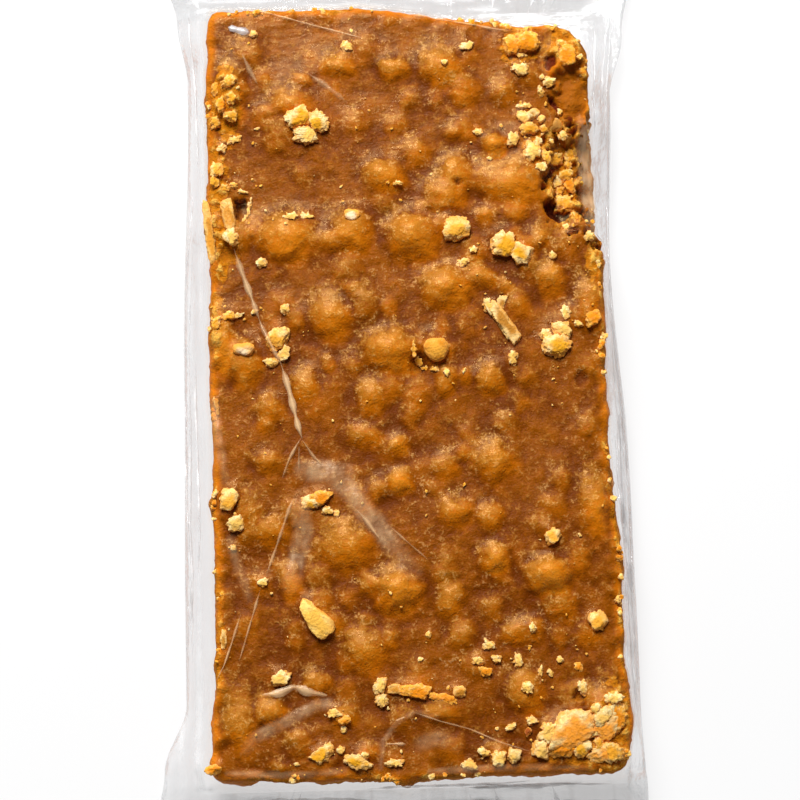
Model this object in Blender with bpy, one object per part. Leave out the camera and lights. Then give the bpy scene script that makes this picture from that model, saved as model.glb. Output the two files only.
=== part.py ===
"""Peanut rapadura in its wrapper: a slab of panela and peanuts sealed in a clear bag, as one solid.

The solid is the outer form of the tight bag: the slab's lumpy top with its broken corner and crumbs,
the loose fold of film along both long sides, and the flat sealed ends.
X runs across the slab, Y along it and Z up. The origin is under the middle of the bag, on its base.
Sizes below are in millimetres; place() turns them into metres.
"""

import math
import random

import bmesh
import bpy
from mathutils import Matrix, Vector, noise

MM = 0.001
TINY = 0.001
SEED = 21

# The slab
BAR_LENGTH = 140.8
BAR_THICKNESS = 14.6
BAR_LEFT = -35.5
BAR_RIGHT = 35.8
BAR_NEAR = -69.8
BAR_FAR = BAR_NEAR + BAR_LENGTH
WIDER_NEAR_END = 1.3  # the right side swells by this much over the near half
WIDENING = (-14.0, -34.0)  # where along the slab it does so
FAR_END_SLANT = 3.2  # how much shorter the slab is on its right
SLANT = (-10.0, 16.0)  # where across the slab its far end slants back
FAR_END_STEP = 1.2  # and the small step after it, at the broken corner
STEP = (18.0, 22.0)
BROKEN_INSET = 1.2  # the right side steps in beside the broken corner
BROKEN_FROM = (25.5, 27.5)
SIDE_UNEVENNESS = 0.4
FAR_END_UNEVENNESS = 0.4
NEAR_END_UNEVENNESS = 0.3
SIDE_PIECES = 4.0  # size of the bits that make the sides uneven
END_PIECES = 5.0
EDGE_ROUNDING = 2.0  # how far in the top edge is rounded
EDGE_FALL = 0.8  # how far it falls there, as a share of a full round
CORNER_RADII = {(-1, -1): 1.6, (1, -1): 3.5, (-1, 1): 2.5, (1, 1): 7.0}

# The bag
SEAL_Y = 94.5
SEAL_DEPTH = 10.0
SEAL_START = SEAL_Y - SEAL_DEPTH
END_SLOPE = SEAL_START - BAR_LENGTH / 2
END_SAG = 0.55  # power of the film's fall over the slab's ends, under 1 where it hangs in
SIDE_SAG = 0.9
SEAL_HEIGHT = 1.9  # top of the flat seal above the base
SEAL_WAVE = 0.5
SEAL_WAVE_LENGTH = 44.0
SEAL_WAVE_STARTS = {1: 1.0, -1: 2.6}  # in radians, at the far seal and at the near one
SHEET_THICKNESS = 0.7  # the two plies of the seal and of the side fold, with the air between them
FOLD_HEIGHT = 3.8
FOLD_WAVE = 0.6
FOLD_WAVE_LENGTH = 50.0
FLAT_FROM = 4.0  # how far short of the slab's ends the side folds begin to flatten
BASE_REACH = 2.5  # how far past the slab's ends the bag still lies on its base
BASE_INSET = 0.8  # the base stops this far inside the slab's sides
BAG_LEFT = ((-94.5, -48.0), (-80, -48.0), (-68, -45.8), (-56, -41.8), (0, -41.5), (60, -40.2),
            (72, -42.0), (82, -44.6), (94.5, -45.0))
BAG_RIGHT = ((-94.5, 42.0), (-76, 41.3), (-56, 40.6), (-20, 40.4), (24, 38.3), (58, 39.4),
             (72, 42.2), (82, 44.6), (94.5, 45.0))
BAG_SHIFT_X = -(min(x for _, x in BAG_LEFT) + max(x for _, x in BAG_RIGHT)) / 2

# Swellings of the slab's sides and near end: place along it, how far it stands out, its length
LEFT_BULGES = (
    (52, 0.5, 20), (33, 0.6, 13), (8, 0.6, 9), (-1, 0.5, 7), (-21, 0.5, 6), (-60, 0.8, 11), (-67, 1.1, 5)
)
RIGHT_BULGES = ((-60, 1.1, 11), (-32, 0.4, 6), (11, 0.3, 8), (36, 0.6, 20))
NEAR_BULGES = ((-2, 1.2, 4), (-9, 0.5, 34))

# Peanuts under the glaze: x, y, width, length, rise
LUMPS = (
    (-11.1, 59.8, 4.7, 4.0, 0.9), (-1.3, 58.8, 5.1, 3.6, 0.8), (7.3, 59.0, 6.6, 6.2, 1.0),
    (-20.4, 53.1, 7.3, 4.4, 0.9), (16.9, 44.2, 4.0, 3.6, 0.9), (9.5, 39.1, 5.5, 5.5, 1.0),
    (19.4, 37.0, 10.9, 7.3, 1.4), (7.6, 35.5, 7.3, 5.5, 1.0), (-3.3, 38.6, 6.2, 4.7, 0.9),
    (1.3, 27.3, 8.2, 7.3, 1.6), (-21.7, 27.9, 9.1, 7.3, 1.5), (-9.5, 28.5, 6.4, 6.4, 1.2),
    (7.1, 17.9, 8.2, 6.4, 1.4), (26.1, 19.2, 4.7, 5.5, 0.9), (33.2, 14.5, 4.7, 7.3, 0.8),
    (5.0, 7.0, 5.1, 4.7, 1.3), (-3.2, 6.6, 9.1, 6.6, 1.4), (-13.8, 12.9, 6.6, 6.6, 1.2),
    (-7.0, -1.8, 4.0, 5.5, 0.9), (14.7, 0.7, 4.4, 4.4, 0.9), (15.1, -14.1, 6.6, 6.2, 1.1),
    (7.7, -22.9, 5.5, 4.4, 1.0), (14.6, -31.4, 4.4, 4.4, 1.1), (23.9, -34.8, 6.9, 5.5, 1.5),
    (-3.0, -36.8, 7.3, 6.6, 1.5), (-12.0, -28.6, 9.1, 7.3, 1.4), (-25.3, -25.6, 6.2, 4.4, 0.9),
    (-8.9, -47.2, 6.6, 6.6, 1.1), (17.7, -44.7, 4.4, 3.6, 0.9), (19.1, -55.3, 5.5, 6.6, 1.0),
    (-25.8, -57.6, 5.5, 4.4, 0.9), (-31.1, -59.7, 5.5, 7.3, 1.0), (4.0, -58.4, 5.5, 2.9, 0.8),
)
SMALL_LUMPS = 130
SMALL_LUMP_WIDTH = (2.8, 5.2)
SMALL_LUMP_RISE = 0.12  # share of the width
SMALL_LUMP_LENGTHS = (0.75, 1.3)  # share of the width
SMALL_LUMP_RISES = (0.5, 1.3)  # times the rise above
SMALL_LUMP_SPACING = 0.42  # least distance between two, as a share of both widths
SMALL_LUMP_MARGIN = 2.0  # from the slab's sides and its near end
FAR_LUMP_MARGIN = 4.0  # from its far end, which slants
LUMP_SHARE = 1.4  # how far the glaze rises over a lump, as a share of the rises given above
DOME_REACH = 0.75  # how far from its middle a lump still rises, as a share of its width
OVERLAP_SHARE = 0.35  # how much of the lower lumps is left where several meet
SWELL_HEIGHT = 0.7
SWELL_LENGTH = 19.0

# Hollows of the broken corner: x, y, width, length, depth
HOLLOWS = (
    (27.8, 59.6, 4.0, 4.4, 2.0),
    (31.8, 53.0, 8.0, 13.0, 1.3),
    (30.0, 38.4, 8.4, 19.0, 3.6),
    (27.8, 31.2, 5.0, 5.4, 4.2),
    (35.4, 38.0, 7.6, 24.0, 5.4),
)
HOLLOW_FLOOR = 0.55  # share of a hollow's reach where its wall begins
HOLLOW_BRIM = 1.2  # and where that ends
CRAG_BAND = 4.0  # how far in from the slab's sides the top is crumbly
CRAG_HEIGHT = 1.1
CRAG_PIECES = 2.6

# Crumbs on the glaze: x, y, width, length, turn in degrees
CRUMBS = (
    (-17.1, 49.6, 8.0, 4.6, -4), (-17.3, 45.9, 5.0, 3.4, 0), (12.4, 62.6, 3.3, 1.8, 20),
    (21.4, 58.6, 2.5, 2.9, 0), (23.0, 62.4, 5.0, 5.2, 0), (22.4, 49.6, 5.0, 3.4, 0),
    (20.1, 44.9, 2.6, 2.6, 0), (23.6, 43.1, 4.4, 5.5, -20), (29.0, 45.8, 4.4, 5.8, 0),
    (-33.0, 39.9, 3.3, 2.9, 0), (9.2, 28.7, 5.5, 5.1, 0), (17.8, 25.0, 4.8, 4.9, 0),
    (21.0, 23.4, 3.6, 4.4, 0), (10.6, 22.2, 2.9, 2.0, 0), (17.2, 11.4, 2.6, 8.6, 22),
    (18.9, 4.4, 2.5, 3.3, 0), (27.4, 9.8, 6.6, 3.6, 25), (27.1, 6.4, 5.5, 4.7, 0),
    (-23.5, 8.3, 4.2, 5.5, -15), (-24.5, 4.6, 2.9, 3.3, 0), (-29.7, 6.0, 3.3, 2.4, 0),
    (-32.7, -20.0, 4.0, 4.4, 0), (-31.4, -24.5, 4.4, 3.6, 0), (-15.8, -20.5, 6.4, 4.4, 0),
    (-18.1, -41.2, 4.0, 7.6, 38), (-24.2, -52.1, 4.4, 3.6, 0), (-6.4, -54.8, 2.9, 6.2, 0),
    (0.6, -54.8, 10.2, 2.4, 8), (13.0, -47.0, 3.0, 2.0, 0), (18.0, -49.8, 2.3, 3.3, 0),
    (19.3, -54.6, 2.9, 2.7, 0), (29.2, -54.8, 2.6, 3.8, 0), (32.4, -43.4, 4.0, 4.4, 0),
    (25.0, -28.1, 3.3, 3.6, 0), (20.2, -60.2, 3.0, 2.4, 0), (23.4, -64.2, 6.8, 5.6, 20),
    (27.8, -61.4, 6.8, 5.0, 30), (33.8, -60.0, 5.2, 6.4, 0), (15.4, -66.2, 5.1, 3.4, 0),
    (-14.4, -58.6, 3.6, 2.6, 0), (-17.2, -65.3, 5.5, 4.0, 20), (-10.7, -66.3, 5.4, 2.8, -15),
)
CRUMB_HEIGHT = 0.62  # share of the shorter side
CRUMB_SUNK = 0.18
CRUMB_ROUGHNESS = 0.45
CRUMB_PIECES = 0.25  # size of the bits it is rough with, as a share of its own size

# The mesh
BAR_COLUMNS = 40
BAR_ROWS = 75
FLANK_STEPS = (1.0, 0.55, 0.2)  # share of the side fold's width, from the fold to the slab
END_STEPS = (1.0, 0.565, 0.33, 0.14, 0.05)  # share of the end's length, from the seal to the slab
FAR_BEND = 30.0  # how far in from the slab's ends the mesh's rows still follow their slant
NEAR_BEND = 10.0
WELD = 0.01
SHARP_EDGE_DEG = 40

# Caramel brown of the slab under the film
BAR_COLOUR = (0.36, 0.15, 0.035, 1.0)
BAR_ROUGHNESS = 0.35


def smooth_step(start, end, value):
    """0 up to start and 1 past end, easing between them."""
    share = min(max((value - start) / (end - start), 0.0), 1.0)
    return share * share * (3.0 - 2.0 * share)


def mix(low, high, share):
    """The value that lies share of the way from low to high."""
    return low + (high - low) * share


def along(stations, place):
    """The value at place on a curve eased from station to station."""
    for (start, low), (end, high) in zip(stations, stations[1:]):
        if place <= end:
            return mix(low, high, smooth_step(start, end, place))
    return stations[-1][1]


def bulge(bulges, place):
    """How far a side stands out at place; each bulge is its middle, how far out it is and its length."""
    return sum(out * math.exp(-((place - middle) / (length / 2)) ** 2) for middle, out, length in bulges)


def crag(x, y, scale):
    """A repeatable crumbly unevenness between about -1 and 1, with pieces of the size scale."""
    return noise.noise(Vector((x / scale, y / scale, SEED)))


def left_side(y, unevenness=SIDE_UNEVENNESS):
    """The slab's left side."""
    return BAR_LEFT - bulge(LEFT_BULGES, y) + unevenness * crag(BAR_LEFT, y, SIDE_PIECES)


def right_side(y, unevenness=SIDE_UNEVENNESS):
    """The slab's right side, stepped in beside the broken corner."""
    swell = WIDER_NEAR_END * smooth_step(*WIDENING, y)
    broken = BROKEN_INSET * smooth_step(*BROKEN_FROM, y)
    uneven = unevenness * crag(BAR_RIGHT, y, SIDE_PIECES)
    return BAR_RIGHT + swell - broken + bulge(RIGHT_BULGES, y) + uneven


def far_end(x):
    """The slab's far end, slanting back to its broken corner."""
    slant = FAR_END_SLANT * smooth_step(*SLANT, x) + FAR_END_STEP * smooth_step(*STEP, x)
    return BAR_FAR - slant + FAR_END_UNEVENNESS * crag(x, BAR_FAR, END_PIECES)


def near_end(x):
    """The slab's near end, with a lump that stands out a little left of the middle."""
    return BAR_NEAR - bulge(NEAR_BULGES, x) + NEAR_END_UNEVENNESS * crag(x, BAR_NEAR, END_PIECES)


def past_outline(x, y):
    """How far a point lies outside the slab's outline, less than 0 inside it, and the way out of it."""
    out_x = max(left_side(y) - x, x - right_side(y))
    out_y = max(near_end(x) - y, y - far_end(x))
    radius = CORNER_RADII[(1 if x > 0 else -1, 1 if y > 0 else -1)]
    over_x = max(out_x + radius, 0.0)
    over_y = max(out_y + radius, 0.0)
    distance = math.hypot(over_x, over_y) + min(max(out_x, out_y) + radius, 0.0) - radius
    return distance, max(out_x, 0.0), max(out_y, 0.0)


def small_lumps():
    """The lesser peanuts, spread evenly over the slab by chance."""
    chance = random.Random(SEED)
    placed = []
    while len(placed) < SMALL_LUMPS:
        x = chance.uniform(BAR_LEFT + SMALL_LUMP_MARGIN, BAR_RIGHT - SMALL_LUMP_MARGIN)
        y = chance.uniform(BAR_NEAR + SMALL_LUMP_MARGIN, BAR_FAR - FAR_LUMP_MARGIN)
        width = chance.uniform(*SMALL_LUMP_WIDTH)
        length = width * chance.uniform(*SMALL_LUMP_LENGTHS)
        rise = width * SMALL_LUMP_RISE * chance.uniform(*SMALL_LUMP_RISES)
        gaps = [math.hypot(x - other[0], y - other[1]) / (width + other[2]) for other in placed]
        if min(gaps, default=1.0) > SMALL_LUMP_SPACING:
            placed.append((x, y, width, length, rise))
    return placed


def dome(x, y, lump):
    """The height of one round lump at a point."""
    middle_x, middle_y, width, length, rise = lump
    across = (x - middle_x) / (DOME_REACH * width)
    endwards = (y - middle_y) / (DOME_REACH * length)
    return LUMP_SHARE * rise * max(1.0 - across**2 - endwards**2, 0.0) ** 2


def scoop(x, y, hollow):
    """The depth of one hollow at a point, with a steep wall round a level floor."""
    middle_x, middle_y, width, length, depth = hollow
    reach = math.hypot((x - middle_x) / (width / 2), (y - middle_y) / (length / 2))
    return depth * (1.0 - smooth_step(HOLLOW_FLOOR, HOLLOW_BRIM, reach))


def bar_top(x, y, lumps):
    """The height of the film where it lies on the slab."""
    height = BAR_THICKNESS + SWELL_HEIGHT * crag(x, y, SWELL_LENGTH)
    raised = [dome(x, y, lump) for lump in lumps]
    height += max(raised) + OVERLAP_SHARE * (sum(raised) - max(raised))
    height -= max(scoop(x, y, hollow) for hollow in HOLLOWS)
    distance = past_outline(x, y)[0]
    height += CRAG_HEIGHT * crag(x, y, CRAG_PIECES) * smooth_step(-CRAG_BAND, 0, distance)
    into_rounding = min(max(distance + EDGE_ROUNDING, 0.0), EDGE_ROUNDING)
    return height - (EDGE_ROUNDING - math.sqrt(EDGE_ROUNDING**2 - into_rounding**2)) * EDGE_FALL


def seal_top(x, y):
    """The height of the flat sealed end, which waves a little across the bag."""
    start = SEAL_WAVE_STARTS[1 if y > 0 else -1]
    return SEAL_HEIGHT + SEAL_WAVE * math.sin(math.tau * x / SEAL_WAVE_LENGTH + start)


def film_top(x, y, lumps):
    """The height of the film's upper sheet: over the slab, and falling from its edge all round."""
    distance, out_x, out_y = past_outline(x, y)
    if distance <= 0.0:
        return bar_top(x, y, lumps)
    edge_x = min(max(x, left_side(y)), right_side(y))
    edge_y = min(max(y, near_end(edge_x)), far_end(edge_x))
    high = bar_top(edge_x, edge_y, lumps)
    if x < 0:
        side_margin = left_side(y) - along(BAG_LEFT, y)
    else:
        side_margin = along(BAG_RIGHT, y) - right_side(y)
    endwards = out_y / (out_x + out_y + TINY)
    share = min(distance / mix(side_margin, END_SLOPE, endwards), 1.0)
    flattened = smooth_step(BAR_LENGTH / 2 - FLAT_FROM, SEAL_START, abs(y))
    fold = FOLD_HEIGHT + FOLD_WAVE * math.sin(math.tau * y / FOLD_WAVE_LENGTH + math.copysign(1.0, x))
    low = mix(fold, seal_top(x, y), max(endwards, flattened))
    return mix(high, low, share ** mix(SIDE_SAG, END_SAG, endwards))


def column_places(y):
    """Where the mesh's columns cross the row at y, from the left fold to the right one."""
    left, right = left_side(y), right_side(y)
    fold_left, fold_right = along(BAG_LEFT, y), along(BAG_RIGHT, y)
    places = [mix(left, fold_left, step) for step in FLANK_STEPS]
    places += [mix(left, right, i / (BAR_COLUMNS - 1)) for i in range(BAR_COLUMNS)]
    places += [mix(right, fold_right, step) for step in reversed(FLANK_STEPS)]
    evenly = [mix(fold_left, fold_right, i / (len(places) - 1)) for i in range(len(places))]
    spread = smooth_step(BAR_LENGTH / 2, SEAL_START, abs(y))
    return [mix(place, even, spread) for place, even in zip(places, evenly)]


def row_places():
    """The mesh's rows, from the near seal to the far one, as if the slab's ends were straight."""
    near = [mix(BAR_NEAR, -SEAL_Y, step) for step in END_STEPS]
    middle = [mix(BAR_NEAR, BAR_FAR, i / (BAR_ROWS - 1)) for i in range(BAR_ROWS)]
    far = [mix(BAR_FAR, SEAL_Y, step) for step in reversed(END_STEPS)]
    return near + middle + far


def follow_ends(x, y):
    """The row's place at x, bent to follow the slab's uneven ends and straight again at the seals."""
    if y > 0:
        moved = far_end(x) - BAR_FAR
        share = smooth_step(BAR_FAR - FAR_BEND, BAR_FAR, y) * (1 - smooth_step(BAR_FAR, SEAL_START, y))
    else:
        moved = near_end(x) - BAR_NEAR
        share = smooth_step(BAR_NEAR + NEAR_BEND, BAR_NEAR, y) * (1 - smooth_step(BAR_NEAR, -SEAL_START, y))
    return y + moved * share


def place(x, y, z):
    """A point of the bag in metres."""
    return Vector((x + BAG_SHIFT_X, y, z)) * MM


def base_point(x, y):
    """Where the bag's underside meets the base below a point of its rim."""
    inside_y = min(max(y, BAR_NEAR - BASE_REACH), BAR_FAR + BASE_REACH)
    left = left_side(inside_y, 0.0) + BASE_INSET
    right = right_side(inside_y, 0.0) - BASE_INSET
    return min(max(x, left), right), inside_y


def bag_body(lumps):
    """The bag and the slab in it, without crumbs: an upper sheet, a rim and a flat base."""
    mesh = bmesh.new()
    rows = row_places()
    columns = len(column_places(0.0))
    bmesh.ops.create_grid(mesh, x_segments=columns - 1, y_segments=len(rows) - 1, size=0.5)
    for vert in mesh.verts:
        row = rows[round((vert.co.y + 0.5) * (len(rows) - 1))]
        x = column_places(row)[round((vert.co.x + 0.5) * (columns - 1))]
        y = follow_ends(x, row)
        vert.co = (x, y, film_top(x, y, lumps))
    for drop in (SHEET_THICKNESS, None):
        rim = [edge for edge in mesh.edges if edge.is_boundary]
        made = bmesh.ops.extrude_edge_only(mesh, edges=rim)["geom"]
        for vert in (item for item in made if isinstance(item, bmesh.types.BMVert)):
            if drop is None:
                vert.co = (*base_point(vert.co.x, vert.co.y), 0.0)
            else:
                vert.co.z -= drop
    bmesh.ops.remove_doubles(mesh, verts=mesh.verts, dist=WELD)
    bmesh.ops.holes_fill(mesh, edges=[edge for edge in mesh.edges if edge.is_boundary], sides=0)
    bmesh.ops.triangulate(mesh, faces=mesh.faces, quad_method="BEAUTY", ngon_method="BEAUTY")
    for vert in mesh.verts:
        vert.co = place(*vert.co)
    bmesh.ops.recalc_face_normals(mesh, faces=mesh.faces)
    return mesh


def crumb(spot, number, lumps):
    """One craggy crumb, sunk a little into the glaze under it."""
    x, y, width, length, turn = spot
    height = CRUMB_HEIGHT * min(width, length)
    mesh = bmesh.new()
    bmesh.ops.create_icosphere(mesh, subdivisions=1, radius=0.5)
    for vert in mesh.verts:
        vert.co *= 1.0 + CRUMB_ROUGHNESS * noise.noise(vert.co / CRUMB_PIECES + Vector((number, 0, 0)))
    bmesh.ops.scale(mesh, vec=(width, length, height), verts=mesh.verts)
    bmesh.ops.rotate(mesh, matrix=Matrix.Rotation(math.radians(turn), 3, "Z"), verts=mesh.verts)
    middle = film_top(x, y, lumps) + height * (0.5 - CRUMB_SUNK)
    for vert in mesh.verts:
        vert.co = place(x + vert.co.x, y + vert.co.y, middle + vert.co.z)
    return mesh


def new_object(name, mesh, home):
    """An object of the finished bmesh, linked to the collection home."""
    data = bpy.data.meshes.new(name)
    mesh.to_mesh(data)
    mesh.free()
    made = bpy.data.objects.new(name, data)
    home.objects.link(made)
    return made


def fuse(body, pieces):
    """Joins the collection's pieces to the body with one union, then removes them."""
    union = body.modifiers.new("crumbs", "BOOLEAN")
    union.operation = "UNION"
    union.operand_type = "COLLECTION"
    union.collection = pieces
    union.solver = "EXACT"
    bpy.context.view_layer.update()
    joined = bpy.data.meshes.new_from_object(body.evaluated_get(bpy.context.evaluated_depsgraph_get()))
    body.modifiers.remove(union)
    body.data = joined
    for piece in list(pieces.objects):
        bpy.data.objects.remove(piece, do_unlink=True)
    bpy.data.collections.remove(pieces)


def bag_material():
    """Satin caramel brown, as the slab looks through its film."""
    material = bpy.data.materials.new("rapadura_in_film")
    material.use_nodes = True
    shader = material.node_tree.nodes["Principled BSDF"]
    shader.inputs["Base Color"].default_value = BAR_COLOUR
    shader.inputs["Roughness"].default_value = BAR_ROUGHNESS
    shader.inputs["Metallic"].default_value = 0.0
    return material


def main():
    """Builds the sealed bag."""
    for old in list(bpy.data.objects):
        bpy.data.objects.remove(old, do_unlink=True)
    scene_home = bpy.context.scene.collection
    lumps = list(LUMPS) + small_lumps()
    bag = new_object("sealed_bag", bag_body(lumps), scene_home)
    crumbs = bpy.data.collections.new("crumbs")
    scene_home.children.link(crumbs)
    for number, spot in enumerate(CRUMBS):
        new_object(f"crumb_{number}", crumb(spot, number, lumps), crumbs)
    fuse(bag, crumbs)
    bag.data.materials.clear()
    bag.data.materials.append(bag_material())
    bag.data.shade_smooth()
    bag.data.set_sharp_from_angle(angle=math.radians(SHARP_EDGE_DEG))


main()
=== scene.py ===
"""Looks of a slab of peanut rapadura sealed in a tight clear bag.

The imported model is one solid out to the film. Here it becomes the candy slab, the crumbs and flakes that lie
on it, and the clear film round them. Forms are worked out in millimetres in the slab's own coordinates: X
across the slab, Y along it, Z up from the bag's base. Layout turns them into the model's metres.
"""

import logging
import math
import random
from dataclasses import dataclass, field
from enum import Enum
from typing import Any, Callable, NamedTuple

import bmesh
import bpy
import numpy as np
from mathutils import Matrix, Vector, noise

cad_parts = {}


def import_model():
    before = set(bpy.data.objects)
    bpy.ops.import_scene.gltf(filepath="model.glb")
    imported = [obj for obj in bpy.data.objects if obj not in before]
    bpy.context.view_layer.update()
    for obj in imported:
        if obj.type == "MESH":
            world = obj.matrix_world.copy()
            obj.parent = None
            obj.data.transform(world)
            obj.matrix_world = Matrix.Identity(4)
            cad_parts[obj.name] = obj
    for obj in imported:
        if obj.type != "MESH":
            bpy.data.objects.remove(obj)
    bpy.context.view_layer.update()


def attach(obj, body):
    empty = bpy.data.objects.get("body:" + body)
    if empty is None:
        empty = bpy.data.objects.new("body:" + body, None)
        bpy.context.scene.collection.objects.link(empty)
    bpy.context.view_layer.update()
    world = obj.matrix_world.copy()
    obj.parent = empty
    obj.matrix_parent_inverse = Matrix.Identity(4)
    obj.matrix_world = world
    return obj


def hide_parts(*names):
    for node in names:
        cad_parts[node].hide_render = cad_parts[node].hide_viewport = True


log = logging.getLogger("rapadura")

Array = np.ndarray
Path = tuple[tuple[float, float], ...]
Bulges = tuple[tuple[float, float, float], ...]
Colour = tuple[float, float, float]
Sized = tuple[Vector, float]

MM = 0.001
SEED = 21
SAMPLE_STEP = 0.25
NODE = "sealed_bag"


# ---------------------------------------------------------------- curves and noise


def smooth_step(start: float, end: float, value: Any) -> Array:
    """Eases from 0 at start to 1 at end.

    Args:
        start: Where the rise begins; it may lie above end.
        end: Where the rise is over.
        value: One value or an array of them.

    Returns:
        The eased share for each value.
    """
    share = np.clip((np.asarray(value, float) - start) / (end - start), 0.0, 1.0)
    return share * share * (3.0 - 2.0 * share)


def mix(low: Any, high: Any, share: Any) -> Any:
    """Returns the value that lies share of the way from low to high."""
    return low + (high - low) * share


def crag(x: Any, y: Any, scale: float, layer: float = SEED) -> Array:
    """Gives the crumbly unevenness of the candy, the same each time.

    Args:
        x: Places across the slab, in millimetres.
        y: Places along the slab, in millimetres.
        scale: Size of one piece of the unevenness, in millimetres.
        layer: Which of many such patterns.

    Returns:
        Values between about -1 and 1 in the shape of x and y.
    """
    across, along = np.broadcast_arrays(np.asarray(x, float), np.asarray(y, float))
    pairs = zip((across / scale).ravel().tolist(), (along / scale).ravel().tolist())
    return np.array([noise.noise((a, b, layer)) for a, b in pairs]).reshape(across.shape)


class Layer(NamedTuple):
    """One layer of unevenness: how strong, how large in millimetres, which pattern, how stretched."""

    share: float
    scale: float
    pattern: float
    wide: float = 1.0
    long: float = 1.0


def crags(x: Any, y: Any, layers: tuple[Layer, ...], onto: Any = 0.0) -> Any:
    """Adds layers of unevenness to what is there.

    Args:
        x: Places across the slab, in millimetres.
        y: Places along the slab, in millimetres.
        layers: The layers, added in their order.
        onto: What they are added to.

    Returns:
        The sum at each place.
    """
    for layer in layers:
        onto = onto + layer.share * crag(x / layer.wide, y / layer.long, layer.scale, layer.pattern)
    return onto


def crag_in_space(points: Array, scale: float, layer: float = 0.0) -> Array:
    """Returns the unevenness at an array of points in space, in pieces of the size scale."""
    return np.array([noise.noise((a, b, c + layer)) for a, b, c in (points / scale).tolist()])


def stations_curve(stations: Path) -> Callable[[Any], Array]:
    """Makes a curve eased from station to station.

    Args:
        stations: Pairs of a place and the value there, in order.

    Returns:
        A function of the place.
    """
    places = np.array([place for place, _ in stations])
    values = np.array([value for _, value in stations])

    def curve(at: Any) -> Array:
        """Reads the curve.

        Args:
            at: The places.

        Returns:
            Its value at each of them.
        """
        index = np.clip(np.searchsorted(places, at) - 1, 0, len(places) - 2)
        eased = smooth_step(places[index], places[index + 1], at)
        return mix(values[index], values[index + 1], eased)

    return curve


def sampled(side: Callable[[Array], Array], reach: float) -> Callable[[Any], Array]:
    """Works a slow curve out once, and reads it from there on.

    Args:
        side: The curve.
        reach: How far it goes both ways, in millimetres.

    Returns:
        A function that reads the curve between samples.
    """
    places = np.arange(-reach, reach, SAMPLE_STEP)
    values = side(places)
    return lambda at: np.interp(at, places, values)


def blurred(field_: Array, rounds: int) -> Array:
    """Smooths a grid of values with their neighbours.

    Args:
        field_: The grid.
        rounds: How often it is smoothed.

    Returns:
        The smoothed grid.
    """
    for _ in range(rounds):
        padded = np.pad(field_, 1, mode="edge")
        field_ = (padded[:-2, 1:-1] + padded[2:, 1:-1] + padded[1:-1, :-2] + padded[1:-1, 2:]) / 4.0
    return field_


def within(x: Array, y: Array, oval: Any) -> tuple[Array, Array]:
    """Measures points in a turned oval, such as a hollow or a crumb.

    Args:
        x: Places across the slab.
        y: Places along the slab.
        oval: What has the place, the width, the length and the turn.

    Returns:
        How far across and along the oval each point lies, 1 at its rim.
    """
    turn = math.radians(oval.turn)
    across = (x - oval.x) * math.cos(turn) + (y - oval.y) * math.sin(turn)
    along = (y - oval.y) * math.cos(turn) - (x - oval.x) * math.sin(turn)
    return across / (0.5 * oval.width), along / (0.5 * oval.length)


def at_one(curve: Callable[[Array, Array], Array], x: float, y: float) -> float:
    """Returns what a function of arrays of places gives at a single place."""
    return float(curve(np.array([x]), np.array([y]))[0])


def distance_to_path(x: Array, y: Array, path: Path) -> tuple[Array, Array]:
    """Measures how far points lie from a path of straight stretches.

    Args:
        x: Places across the slab.
        y: Places along the slab.
        path: The path's points.

    Returns:
        The distance of each point, and how far along the path it lies, from 0 to 1.
    """
    nearest = np.full(np.shape(x), 1e9)
    run = np.zeros(np.shape(x))
    stretches = list(zip(path, path[1:]))
    for number, ((ax, ay), (bx, by)) in enumerate(stretches):
        length = (bx - ax) ** 2 + (by - ay) ** 2
        share = np.clip(((x - ax) * (bx - ax) + (y - ay) * (by - ay)) / length, 0.0, 1.0)
        gap = np.hypot(x - mix(ax, bx, share), y - mix(ay, by, share))
        closer = gap < nearest
        nearest = np.where(closer, gap, nearest)
        run = np.where(closer, (number + share) / len(stretches), run)
    return nearest, run


# ---------------------------------------------------------------- shader expressions


class Wire:
    """A shader socket in arithmetic: an expression on it adds its Math nodes."""

    def __init__(self, nodes: "Nodes", socket: bpy.types.NodeSocket) -> None:
        """Keeps the socket and the tree it belongs to."""
        self.nodes = nodes
        self.socket = socket

    def math(self, operation: str, *values: Any) -> "Wire":
        """Returns the Math node of an operation on this wire and the values."""
        sockets = dict(enumerate((self, *values)))
        return self.nodes.add("ShaderNodeMath", {"operation": operation}, sockets)

    def __add__(self, other: Any) -> "Wire":
        """Adds."""
        return self.math("ADD", other)

    __radd__ = __add__

    def __sub__(self, other: Any) -> "Wire":
        """Subtracts."""
        return self.math("SUBTRACT", other)

    def __rsub__(self, other: Any) -> "Wire":
        """Subtracts this wire from a number."""
        return self.nodes.add("ShaderNodeMath", {"operation": "SUBTRACT"}, {0: other, 1: self})

    def __mul__(self, other: Any) -> "Wire":
        """Multiplies."""
        return self.math("MULTIPLY", other)

    __rmul__ = __mul__

    def eased(self, start: float, end: float, low: float = 0.0, high: float = 1.0) -> "Wire":
        """Eases this wire from low at start to high at end.

        Args:
            start: The wire's value where the change begins.
            end: The wire's value where the change is over.
            low: The result at start.
            high: The result at end.

        Returns:
            The eased wire.
        """
        settings = {"interpolation_type": "SMOOTHSTEP"}
        return self.nodes.add("ShaderNodeMapRange", settings, {0: self, 1: start, 2: end, 3: low, 4: high})

    def least(self, other: Any) -> "Wire":
        """Returns the smaller of this wire and another."""
        return self.math("MINIMUM", other)


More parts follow.
